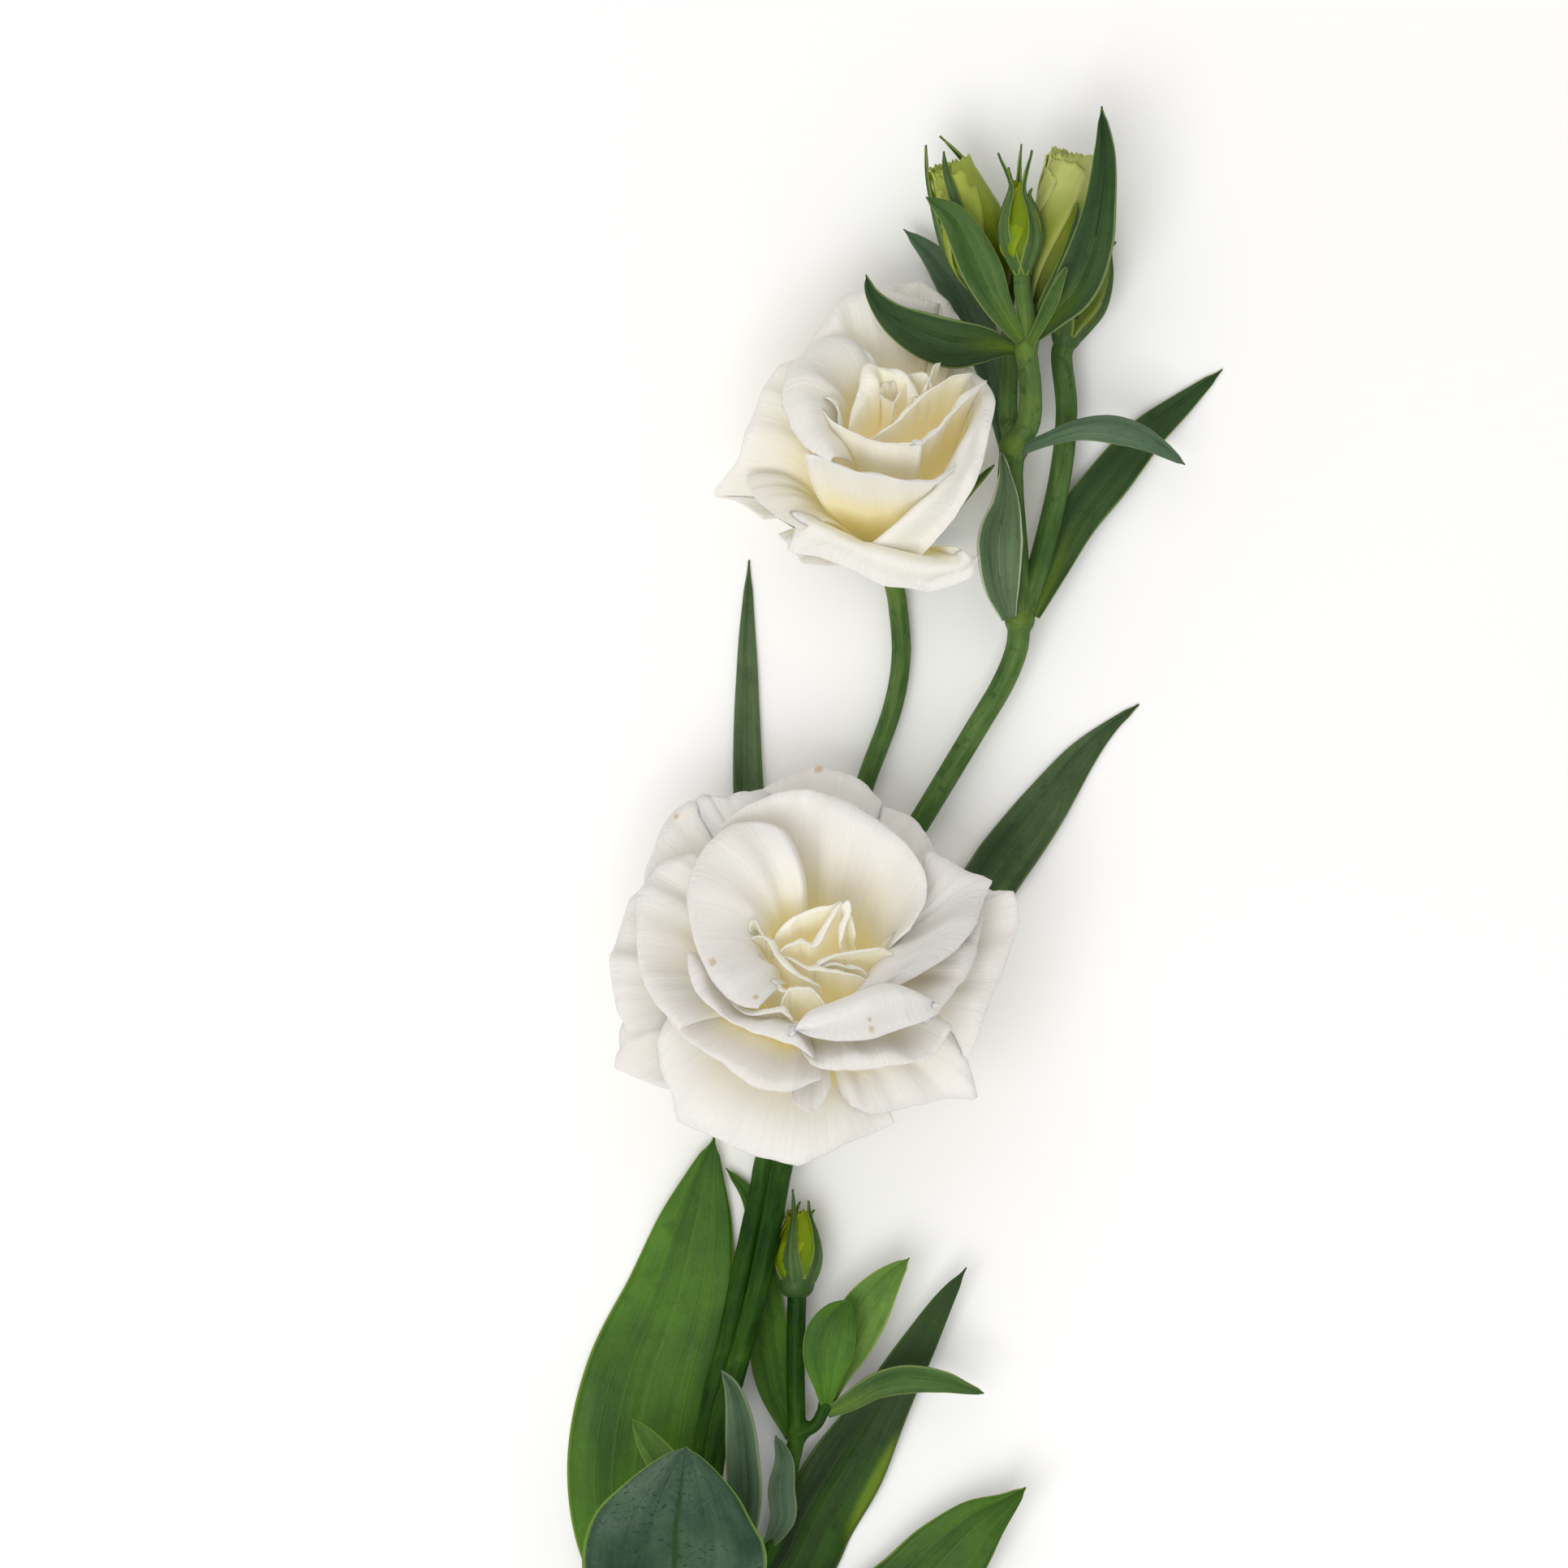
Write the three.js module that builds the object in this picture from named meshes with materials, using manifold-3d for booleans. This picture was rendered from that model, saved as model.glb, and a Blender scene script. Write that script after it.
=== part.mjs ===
// A cut stem of white lisianthus, lying on a level surface with its two open blooms looking up.
//
// Lengths are in millimetres and angles in degrees. X runs to the right across the lying flower, Y runs
// along the stem towards the buds and Z goes up from the surface. The tables give places in the flower's
// own X and Y, and the group is moved at the end so that its origin is under the middle of its box.

import * as THREE from 'three';
import { mergeVertices } from 'three/addons/utils/BufferGeometryUtils.js';
import Module from 'manifold-3d';

const wasm = await Module();
wasm.setup();

// Driving dimensions
const PETAL_THICKNESS = 0.6;
const LEAF_THICKNESS = 0.7;
const SEPAL_THICKNESS = 0.7;
const STEM_RADIUS = 1.95;
const CUT_END_RADIUS = 2.4;
const NODE_RADIUS = 2.7;
const STEM_SIDES = 6;
const STEM_STEP = 10;
const FEWEST_STEM_STEPS = 3;
const CLEARANCE = 0.35;
const BUD_SIDES = 10;
const BUD_ROWS = 6;
const CUP_SIDES = 8;
const SMALLEST_FACET = 0.15;
const SLIMMEST_HALF_WIDTH = 0.25;
const LEAF_COLUMNS = 2;
const FLOOR_DEPTH = 20;
const FLOOR_SIDE = 600;

// The two open blooms: base is where the calyx meets the petals, lean tips the axis from Z towards Y
const LOWER_BLOOM = { base: [4.6, -42, 13], lean: 35 };
const UPPER_BLOOM = { base: [18.6, 40, 6.8], lean: 50 };
const BLOOMS = { lower_bloom: LOWER_BLOOM, upper_bloom: UPPER_BLOOM };

// The petals' bends: belly is the angle off the axis at the root, flare the one at the rim, and lip the
// share of the petal's length that the rim's bend takes
const OUTER = { belly: 60, flare: 78, lip: 0.4, columns: 5, rows: 3 };
const REFLEXED = { belly: 58, flare: 122, lip: 0.34, columns: 7, rows: 4 };
const MIDDLE = { belly: 52, flare: 62, lip: 0.4, columns: 5, rows: 3 };
const CUPPED = { belly: 58, flare: 12, lip: 0.42, columns: 7, rows: 4 };
const FOLDED = { belly: 34, flare: 104, lip: 0.42, columns: 6, rows: 4 };
const INNER = { belly: 26, flare: 4, lip: 0.35, columns: 3, rows: 2 };

// Each rim is a row of points [x, y, height along the bloom's axis]
const LOWER_PETALS = {
  back_outer: { rim: [[-9, -5, 25], [-6.4, -1.9, 27], [0, 0.9, 28], [6, 3.1, 28], [12.2, 0.9, 28],
    [16.9, -3.2, 27], [19, -8, 25]], ...OUTER },
  back_left_outer: { rim: [[-16, -7, 25], [-14.3, -1.9, 27], [-11.6, -2.2, 27.5], [-8.5, -1.7, 28],
    [-4, -1.4, 28], [0, -2.5, 26]], ...OUTER, belly: 60 },
  upper_left_outer: { rim: [[-12, -3.5, 25], [-15, -2.4, 26], [-18.9, -4.5, 26.5], [-21.4, -8.6, 26.5],
    [-23.8, -15.7, 26], [-23.6, -22, 24]], ...OUTER },
  left_outer: { rim: [[-23, -17, 22], [-26.6, -19.8, 22], [-28.7, -26.5, 22], [-29.8, -30.5, 22],
    [-29.4, -35, 21], [-28.4, -39.5, 19], [-26.5, -43, 17]], ...OUTER },
  low_left_outer: { rim: [[-26, -37, 16], [-27.9, -42.1, 15], [-28.2, -45.4, 14], [-29.3, -48.8, 12.5],
    [-24, -50.9, 13], [-18.9, -52.7, 13], [-14, -52, 13]], ...OUTER, flare: 96 },
  bottom_outer: { rim: [[-21.5, -47, 14], [-19.4, -53, 11], [-18.3, -57.8, 9.5], [-11, -60.8, 9],
    [-4.9, -63.6, 9], [2.5, -65.5, 8.5], [10.7, -61.8, 9.5], [16.4, -59.4, 9.5], [19, -58.1, 10]],
    ...REFLEXED },
  low_right_outer: { rim: [[30, -44, 19], [31.6, -48, 18], [32.9, -53.8, 15.5], [28.3, -53.8, 14],
    [23.6, -54.8, 13.5], [19.5, -55.8, 13], [16, -56.4, 13]], ...REFLEXED },
  right_outer: { rim: [[31, -16, 23], [36, -18.6, 24.5], [39.4, -18.4, 25], [40.6, -23.4, 24.5],
    [37.1, -32.8, 23], [34.5, -39.5, 22], [31.7, -47, 20]], ...OUTER },
  upper_right_outer: { rim: [[13, -3, 26], [21.8, -5.8, 27], [24.6, -8.7, 27.5], [26.4, -12.4, 27],
    [29, -18, 25]], ...OUTER, belly: 60 },
  left_middle: { rim: [[-15.5, -12, 30], [-20.7, -13.6, 29.5], [-25.1, -18.8, 28.5], [-25.6, -24, 28],
    [-24.6, -32.2, 27], [-22.2, -37.4, 26.5], [-17.8, -42.1, 27]], ...MIDDLE },
  low_left_middle: { rim: [[-23.4, -34, 24.5], [-18.6, -42, 24], [-11.6, -47.3, 24.5], [-5.4, -51.5, 24.5],
    [0.8, -52.8, 24.5], [6.5, -50.3, 25]], ...MIDDLE, flare: 74 },
  tongue: { rim: [[0.9, -51.6, 22], [1.6, -54.6, 21], [4.4, -56.3, 20], [6.4, -55, 21], [8, -51.8, 22]],
    ...MIDDLE, flare: 100 },
  right_middle: { rim: [[32.6, -17, 27], [34, -22, 28], [33.4, -27, 28], [31.9, -32.2, 28],
    [28.5, -36.4, 28], [24.5, -41, 28]], ...MIDDLE },
  front_wrap: { rim: [[3, -45, 29.5], [5, -48.2, 29], [9, -49.1, 29], [14.5, -48.6, 29.5],
    [21.5, -47.8, 29.5], [25.8, -46.2, 29], [28.8, -41.5, 29]], ...MIDDLE, flare: 70, belly: 46 },
  front_left_rim: { rim: [[-16.6, -29, 33], [-16, -33.5, 33], [-13.5, -37.4, 33], [-10.1, -39.9, 33],
    [-6.4, -41.9, 33], [-2.3, -43.4, 33], [1.9, -44.9, 33], [4.9, -46.8, 32]], ...MIDDLE, belly: 40, flare: 48 },
  back_cup: { rim: [[-11, -7.5, 33.5], [-6.5, -3.8, 34.5], [-1, -1.3, 35], [5, -0.9, 35], [10.6, -2.8, 35],
    [16, -6, 35], [20.8, -10, 35], [24, -14.8, 35], [24.3, -20, 34.5], [21.5, -25, 34]], ...CUPPED, columns: 9 },
  left_inner: { rim: [[-3.4, -6.8, 35], [-9, -7.2, 36], [-13.2, -10.5, 36], [-15.9, -15, 36],
    [-16.6, -20, 36], [-15.4, -27, 35.5], [-12.6, -33.8, 35], [-8, -38.2, 34], [-2, -41.2, 33]],
    ...CUPPED, belly: 50, flare: 40, columns: 8 },
  right_flared: { rim: [[24.8, -11.6, 32], [30.4, -14.8, 31.5], [35.6, -16.7, 30], [34.6, -19.8, 30.5],
    [32.9, -24, 31], [29.8, -28.1, 32], [26.7, -30.4, 33], [22.6, -32.9, 34], [17.9, -35.4, 34.5]], ...FOLDED },
  front_rolled: { rim: [[1, -41.4, 34], [4.6, -43.2, 34], [8.6, -44, 34], [13.8, -43.9, 34],
    [20.5, -42, 34], [24.1, -40, 34], [27.2, -37.6, 34.5], [24.6, -35, 35.5]], ...FOLDED },
  heart_back: { rim: [[-0.6, -25, 27], [1.3, -23.2, 28], [5, -22, 29], [8.4, -20.8, 30], [10, -20, 31]],
    ...INNER },
  heart_curl: { rim: [[6.8, -29, 25], [8.6, -25.6, 28], [9.6, -22.4, 31], [10.8, -19.9, 33.5],
    [11.2, -21.6, 31]], ...INNER },
  heart_left: { rim: [[-6.2, -26.4, 29], [-4, -26.6, 30], [-1, -29.2, 29], [2.4, -31, 28], [5.4, -33, 27]],
    ...INNER },
  heart_spike: { rim: [[-7, -28.6, 28], [-5.8, -24, 31], [-5.2, -23.4, 32], [-3.4, -26.4, 30]], ...INNER },
  heart_low_left: { rim: [[-4.6, -30.4, 27], [-2.4, -34, 27], [0.8, -35.2, 27], [3.6, -34.8, 26.5]],
    ...INNER },
  heart_middle: { rim: [[1.2, -27.8, 25], [3.4, -29.8, 26], [6.2, -32.2, 26], [9.6, -33.4, 26]],
    ...INNER },
  heart_right: { rim: [[8, -31.4, 26], [9.4, -29.4, 28], [13.2, -28.4, 29.5], [17, -28.4, 30.5],
    [18.8, -29.6, 30]], ...INNER },
  heart_lobe: { rim: [[-0.6, -36.2, 28], [1, -34.9, 29.5], [3.8, -34.6, 29.5], [6.4, -36.6, 28.5]],
    ...INNER },
  heart_low_right: { rim: [[9, -33.2, 26.5], [12, -33, 27.5], [15, -34, 28]], ...INNER },
};

const UPPER_PETALS = {
  back_outer: { rim: [[10, 81, 34], [15.5, 84.8, 36.5], [19.5, 86, 37.5], [24, 86.2, 37.5], [28, 83.5, 37],
    [31.5, 78, 35]], ...OUTER, belly: 58, flare: 52 },
  back_left: { rim: [[17, 83.6, 35.5], [13, 85, 37], [9.4, 83.5, 37.5], [7, 79.7, 37.5], [4.3, 75.7, 36.5],
    [2.4, 71, 35]], ...CUPPED, belly: 56, flare: 34 },
  left_outer: { rim: [[2.6, 73.4, 35], [-0.6, 72.1, 34.5], [-2.8, 69, 33], [-4.6, 65.2, 31.5],
    [-6.4, 60.5, 29], [-8.4, 55, 25], [-12.1, 49.9, 20], [-8.2, 48.6, 18], [-3.3, 45.3, 16]], ...OUTER,
    belly: 58, columns: 7 },
  left_second: { rim: [[-1, 59, 29], [-4.2, 54.2, 26], [-6.2, 51.6, 23.5], [-4.6, 48.7, 21.5],
    [-1, 45.8, 19], [3, 43.6, 18]], ...MIDDLE, belly: 60, flare: 88 },
  bottom_small: { rim: [[-1, 43, 12], [1.6, 40, 11], [3.9, 37.7, 10], [8, 37.6, 10], [13, 38, 11]], ...OUTER,
    flare: 96 },
  bottom_outer: { rim: [[2.4, 44.6, 17], [0.5, 40.2, 14], [6, 39, 13.5], [12, 36.6, 13], [17.3, 33.9, 12.5],
    [21.7, 33.6, 12.5], [24.6, 32.9, 12], [29, 34, 13.5], [32.4, 35.6, 15.5], [33.2, 38.8, 17.5]],
    ...REFLEXED, columns: 9 },
  right_outer: { rim: [[33.6, 69, 33.5], [36, 65, 34], [35.3, 61, 33.5], [34, 55.5, 31], [31.8, 50, 28],
    [28.5, 44.5, 24], [24, 39.8, 20]], ...MIDDLE, belly: 50, flare: 84 },
  left_rolled: { rim: [[11, 79.4, 36], [6.5, 76, 37], [2.3, 73, 37], [0.2, 69.5, 37], [-0.5, 65.5, 36.5],
    [0.8, 61.6, 36], [3.7, 57.8, 35.5], [8, 55.2, 35]], ...MIDDLE, belly: 48, flare: 60, columns: 7 },
  front_rim: { rim: [[4.4, 57.6, 34.5], [8, 55, 34.5], [13, 53.8, 34.5], [18, 53, 34.5], [22.5, 52.3, 34],
    [26.8, 51.8, 33.5], [29.6, 54.4, 33]], ...MIDDLE, belly: 40, flare: 34 },
  front_wrap: { rim: [[5.6, 66, 37], [7.8, 62.4, 37.5], [11, 60.8, 37.5], [15, 59.3, 37.5], [20, 58.4, 37.5],
    [23.5, 58.4, 37.5]], ...MIDDLE, belly: 32, flare: 14 },
  right_wrap: { rim: [[22, 57.9, 37], [23.8, 58.6, 37.5], [26, 60.8, 37.5], [28.5, 64, 38], [31.2, 66.7, 38],
    [34.1, 68.7, 37]], ...MIDDLE, belly: 36, flare: 26 },
  right_inner: { rim: [[14.6, 58.9, 36], [16.2, 60.2, 36.5], [19.6, 63, 37.5], [22.8, 65.8, 38],
    [26, 68.5, 38], [29, 70.4, 38], [32.4, 70, 37]], ...INNER, belly: 32 },
  heart_wrap: { rim: [[11, 61.6, 35], [12, 65, 36.5], [13.1, 69, 37.5], [14.4, 71.2, 37.5],
    [17.5, 71.3, 37.5], [20.8, 70.3, 37.5], [22.8, 67.2, 37]], ...INNER, columns: 7 },
  heart_ring: { rim: [[16, 65, 34.5], [16.8, 68, 35.5], [19, 69.2, 36], [21.2, 68, 36], [21.8, 65.2, 35]],
    ...INNER },
  heart_core: { rim: [[17.2, 64.2, 33], [18, 66.8, 34.5], [19.4, 67.2, 35], [20.4, 64.6, 34]], ...INNER },
};

// Stems and pedicels: rows of points [x, y, z] with a radius at each end
const STEMS = {
  back: { path: [[-21, -190, 2.05], [-20, -170, 2.2], [-16.6, -149, 4], [-13.2, -112.6, 4.6],
    [-9.2, -94.4, 5], [-6.4, -81, 4.8], [-4, -70, 4.4], [-2.6, -63, 4], [4.8, -37, 3.4]],
    radii: [CUT_END_RADIUS, STEM_RADIUS] },
  lower_pedicel: { path: [[-16.6, -149, 5], [-11.4, -112.6, 8.4], [-8.8, -102.8, 8.8], [-4.8, -88.3, 8.8],
    [-2.3, -76.2, 8.2], [-0.2, -65.2, 7.2], [2.6, -53, 6.8]], radii: [STEM_RADIUS, 1.9], carries: 'lower_bloom' },
  main: { path: [[4.8, -37, 3.4], [14, -21.4, 3.6], [23.1, -7, 4], [32.9, 9.2, 5], [37.5, 16.9, 5.8],
    [40, 23, 6.8], [40.6, 28.1, 8]], radii: [STEM_RADIUS, 2] },
  upper_pedicel: { path: [[4.8, -37, 3.4], [9, -16, 3.2], [14, 0.1, 2.8], [18.6, 12.7, 2.4], [20.2, 22, 2.3],
    [19.6, 31, 2.5]], radii: [1.75, 1.7], carries: 'upper_bloom' },
  stem_a: { path: [[40.6, 28.1, 8], [39.8, 40, 8.8], [39, 52, 9.6], [39.4, 58.4, 10.4]], radii: [2.4, 2.2] },
  node_3_stem: { path: [[39.4, 58.4, 10.4], [42, 62, 11.8], [42.4, 68, 12.8], [41.6, 75.4, 14]],
    radii: [2.2, 1.9] },
  bud_a_pedicel: { path: [[39.4, 58.4, 10.4], [38.6, 64, 9], [38.8, 72, 8.6]], radii: [1.8, 1.5], carries: 'bud_a' },
  bud_b_pedicel: { path: [[41.6, 75.4, 14], [41.8, 79.4, 16.4]], radii: [1.6, 1.5], carries: 'bud_b' },
  bud_c_pedicel: { path: [[41.4, 72.6, 13.4], [41.9, 74.8, 13.4]], radii: [1.7, 1.4], carries: 'bud_c' },
  stem_b: { path: [[40.6, 28.1, 8], [43.6, 36.5, 7.2], [47.4, 52, 6], [48.7, 64, 5.8]], radii: [2, 1.9],
    carries: 'bud_d' },
  twig: { path: [[-16.6, -149, 5], [-7, -139.4, 5.8], [-1.4, -129.4, 6.4], [0.4, -121, 6.8], [2.3, -112, 7]],
    radii: [1.7, 1.5] },
  bud_e_pedicel: { path: [[2.3, -112, 7], [2, -102, 6.8]], radii: [1.6, 1.7], carries: 'bud_e' },
  side_twig: { path: [[2.3, -112, 7], [5.4, -110.4, 7.8], [7.2, -107, 8.6]], radii: [1.2, 1.1] },
};

// Swollen nodes where stems fork and leaves join: [x, y, z, radius]
const NODES = {
  cut_node: [-16.6, -149.4, 4.4, 3.5],
  hidden_fork: [4.8, -37, 3.4, NODE_RADIUS],
  collar: [40.6, 28.4, 8, NODE_RADIUS],
  upper_node: [39.6, 58, 10.4, NODE_RADIUS],
  crown_node: [41.5, 75.2, 14, 2.3],
  twig_node: [2.3, -112, 7, 1.9],
  side_node: [7.2, -107, 8.6, 1.4],
};

// Leaves: rib points [x, y, z], half-widths at each, lean about the rib and fold of the two halves up
// from it. The rib starts inside the stem and the clearance round the stem is cut away.
const LEAVES = {
  big_left_leaf: { rib: [[-17.4, -150, 1.6], [-23.2, -140.6, 1], [-25.4, -130, 0.5], [-25.6, -116.8, 0.28],
    [-23, -102.8, 0.5], [-18.2, -88.8, 0.9], [-15.3, -76.2, 1.4], [-13.6, -67.8, 2], [-12, -60.8, 3]],
    widths: [2, 7, 10.4, 11.8, 11.4, 9.4, 6.6, 3.4, 0.3], lean: 0, fold: 3, rows: 10 },
  broad_front_leaf: { rib: [[-17, -149, 8], [-17.6, -146.6, 12.4], [-18.4, -142, 18], [-18.8, -135.6, 23.4],
    [-18.6, -128.7, 27.4], [-17.8, -122, 30.6], [-17.2, -116.8, 33], [-16.8, -113.5, 35]],
    widths: [2, 8, 13.6, 16, 15.2, 10.6, 5.2, 0.3], lean: 0, fold: 10, rows: 8 },
  long_right_low_leaf: { rib: [[-15, -149.4, 3.4], [-7.4, -144.4, 2.6], [1.3, -135.2, 2.2],
    [5.6, -126.6, 2.2], [11.1, -117.2, 2.6], [16.9, -107.4, 3.4], [22.4, -97.9, 4.6], [27.2, -89.6, 6],
    [31.4, -83.3, 8]], widths: [1.6, 4, 6.6, 7, 6.8, 4.8, 3.4, 1.9, 0.3], lean: -14, fold: 12, rows: 9 },
  low_right_leaf: { rib: [[-14, -152.4, 3.6], [-2, -151.2, 3], [10, -147.2, 3], [20.7, -140.6, 4],
    [27.8, -133.4, 6], [33.4, -127.6, 8], [38.4, -123.8, 10.5], [41.6, -121.1, 13]],
    widths: [1.4, 4.2, 6.6, 7.9, 7.2, 5, 2.1, 0.3], lean: -10, fold: 10, rows: 8 },
  small_light_leaf: { rib: [[-17.4, -147, 8.6], [-18.2, -136, 10.6], [-18.8, -126, 11.4],
    [-20, -118.4, 12], [-23.2, -113.4, 12.2], [-26.2, -109.2, 12]], widths: [1.2, 2, 2.4, 3, 2.2, 0.3],
    lean: 12, fold: 12, rows: 6 },
  curled_leaf: { rib: [[-13.6, -148, 5.4], [-8.6, -136, 10.6], [-6.2, -124, 15.4], [-6.4, -116, 18.4],
    [-7.2, -109, 20.6], [-8.6, -103.9, 21.8], [-10.8, -100.8, 21.6]], widths: [1.4, 2.8, 4, 4, 3.2, 1.9, 0.3],
    lean: 16, fold: 42, rows: 7 },
  leaf_behind_pedicel: { rib: [[1.6, -112.6, 5.6], [-1.6, -103, 3.2], [-3, -92, 2], [-3.8, -81, 1.3],
    [-5.6, -72, 1.2], [-10, -66.2, 1.6]], widths: [1.4, 3.4, 3.4, 2.2, 1.6, 0.3], lean: 0, fold: 16, rows: 7 },
  sheath_leaf: { rib: [[-2.6, -131, 7], [-0.2, -126.4, 9.4], [-0.4, -121.6, 10.2], [0, -116.4, 10.2],
    [-1.4, -112.2, 9.8]], widths: [1, 2.3, 2.5, 1.7, 0.3], lean: 0, fold: 24, rows: 5 },
  oval_leaf: { rib: [[7.2, -107, 9.4], [7.3, -103.6, 10.8], [7.4, -99.4, 12], [8, -95.2, 12.8],
    [9.5, -91.6, 13], [11.6, -88.8, 12.6]], widths: [0.9, 2.3, 4.1, 4.5, 3.2, 0.3], lean: 0, fold: 12, rows: 6 },
  pointed_leaf: { rib: [[7.6, -107, 8], [9.2, -101.4, 7.6], [11.2, -96.6, 7.8], [14.2, -90.6, 8.6],
    [17.6, -85.8, 9.8], [21.6, -81.6, 11.2]], widths: [0.9, 2.6, 4, 4.3, 2.8, 0.3], lean: 6, fold: 14, rows: 6 },
  arched_leaf: { rib: [[7.4, -108.4, 8.4], [11.1, -106.4, 10], [16, -103.5, 11.8], [21.6, -102.3, 12.6],
    [27.2, -102.8, 12.2], [31.4, -104, 10.8], [34.4, -104.9, 9]], widths: [0.9, 1.8, 2.5, 2.7, 2.1, 1.1, 0.3],
    lean: -24, fold: 14, rows: 7 },
  narrow_left_leaf: { rib: [[4, -37, 2.8], [-1.6, -30, 2], [-4.6, -18.8, 1.3], [-6.1, -1.3, 0.9],
    [-6.4, 20.4, 0.5], [-6, 38.6, 0.3]], widths: [1.6, 2.2, 2.7, 2.7, 1.8, 0.3], lean: 0, fold: 16, rows: 7 },
  right_fork_leaf: { rib: [[5.6, -37, 2.8], [18.8, -30, 1.8], [32.2, -20.4, 1], [38.4, -12.5, 0.9],
    [44.7, -4.1, 0.8], [50.7, 4.1, 0.6], [56, 9.6, 0.45], [61.2, 13.7, 0.35]],
    widths: [1.4, 3.2, 4.6, 4.9, 4.2, 2.8, 1.3, 0.3], lean: 0, fold: 9, rows: 8 },
  folded_leaf: { rib: [[38.6, 28.6, 11.4], [37.2, 35, 14.4], [37, 42, 15.6], [38, 48.4, 15.4], [38, 53.3, 14.8],
    [37.3, 57.2, 14.6]], widths: [1.4, 3.5, 4.2, 2.6, 1.1, 0.3], lean: -14, fold: 18, rows: 7 },
  long_right_leaf: { rib: [[43, 29, 8], [46.8, 37.2, 5.4], [50.6, 45.6, 3.6], [56.2, 52.8, 2.4],
    [62.4, 60.2, 1.4], [68.7, 65.6, 0.7], [75.6, 71.5, 0.35]], widths: [1.2, 2.4, 3.7, 3.9, 3.2, 2, 0.3],
    lean: 0, fold: 12, rows: 7 },
  arched_upper_leaf: { rib: [[41, 57.6, 12.4], [45.4, 59.4, 13.6], [50.4, 61, 14.4], [56, 61.2, 14.2],
    [61, 60, 13], [65.6, 57.5, 11], [69, 55, 9]], widths: [1, 1.2, 1.9, 2.5, 2.3, 1.3, 0.3], lean: 18,
    fold: -8, rows: 7 },
  back_left_leaf: { rib: [[38.4, 57.6, 8], [37, 65.2, 5], [35.6, 71.5, 4], [33.2, 78.5, 3.5],
    [29.8, 85.5, 3.4], [25.6, 91.1, 4], [20.6, 95.6, 5.4]], widths: [1.3, 2.1, 2.6, 3.4, 3.4, 2.1, 0.3],
    lean: 0, fold: 14, rows: 7 },
  left_crown_leaf: { rib: [[40.2, 74.8, 14.2], [37.6, 75.4, 16], [33.4, 75.7, 17.8], [28.8, 75.9, 18.6],
    [23.7, 77.6, 18.4], [18.8, 80.3, 18.6], [15.3, 84.1, 19.8], [14.1, 87.5, 21.2]],
    widths: [1.1, 2, 3.6, 4.6, 4.2, 2.8, 1.3, 0.3], lean: 14, fold: 20, rows: 8 },
  mid_crown_leaf: { rib: [[40.8, 76.2, 16.2], [36.8, 82.2, 19.6], [33.6, 89, 20.6], [29.4, 97, 20.4],
    [24.4, 100.9, 19.6]], widths: [1.1, 2.6, 3.7, 2.6, 0.3], lean: -8, fold: 16, rows: 7 },
  young_crown_leaf: { rib: [[42.4, 75.8, 16.8], [45.6, 82.2, 21.6], [47.2, 86, 23.4], [48.6, 88.9, 24.4]],
    widths: [0.8, 1.3, 1, 0.3], lean: 0, fold: 18, rows: 4 },
  right_crown_leaf: { rib: [[42.6, 76.4, 15.4], [46.5, 80.6, 18.2], [50.3, 85.5, 20.6], [53.1, 92.5, 22],
    [54.6, 100.2, 22.4], [55.2, 108.6, 22], [54.6, 116.5, 21]], widths: [1, 2.6, 4.3, 4.1, 3, 2, 0.3],
    lean: 12, fold: 24, rows: 8 },
};

// Buds: base and top of the furled petals, their radius along the way, and the sepals as
// [angle round the bud, tip x, tip y, tip z]
const BUDS = {
  bud_a: { base: [37.4, 82.6, 10.4], top: [28.3, 107, 13.4], girth: [1.6, 4.2, 5.3, 5.2, 4.4, 3.5],
    sepals: [[356, 24.4, 110, 13], [76, 27.5, 108.8, 17], [230, 26.8, 111.6, 10], [164, 37.4, 98.6, 10.6],
      [300, 27, 101, 7.4]] },
  bud_b: { base: [40.8, 89.4, 20.6], top: [40.2, 103.4, 22.4], girth: [1.5, 3, 3.3, 2.7, 1.6, 0.6],
    sepals: [[50, 36.8, 108.4, 24.6], [122, 42.6, 108.9, 24.6], [194, 42.6, 102.4, 20.4],
      [266, 40.8, 110, 21.4], [338, 38.6, 106, 21.4]] },
  bud_c: { base: [43.8, 81.8, 13.6], top: [49.3, 108.8, 15.4], girth: [1.6, 3.2, 4, 4.2, 4, 3.5],
    sepals: [[134, 50.4, 99.8, 19.6], [290, 44.6, 101, 10.6], [196, 52, 101.6, 14]] },
  bud_d: { base: [48.8, 77.6, 6], top: [53.4, 98, 6.4], girth: [1.9, 4.2, 4.7, 4.3, 3.2, 1.9],
    sepals: [[160, 57, 93.4, 8], [114, 54.4, 92.4, 11], [10, 47, 95, 7.4], [308, 49, 96, 3.4],
      [236, 55, 97, 3.4]] },
  bud_e: { base: [2.2, -88.2, 6.2], top: [2.3, -73, 5.6], girth: [1.8, 3, 3.2, 2.9, 2.3, 1.6],
    sepals: [[60, 1.9, -70.6, 8.2], [130, 4, -72.6, 7.8], [190, 5.2, -73.4, 5.2], [270, 2.8, -72, 2.8],
      [350, -0.2, -72.6, 4.4]] },
};

// The blooms' sepals: [angle round the axis, tip x, tip y, tip z]
const BLOOM_SEPALS = {
  lower: [[288, 10, -57, 25], [340, 21, -44, 16], [48, 17, -28, 8.6], [146, -9.6, -28, 9], [208, -13, -46, 17]],
  upper: [[26, 36.2, 55, 5.4], [72, 27, 60, 0.6], [118, 9, 60.6, 0.6], [196, -1, 46, 7.6], [338, 31, 39.6, 11]],
};
const BLOOM_CUP = { foot: 1.9, waist: 3, rim: 3.6, height: 3 };
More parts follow.
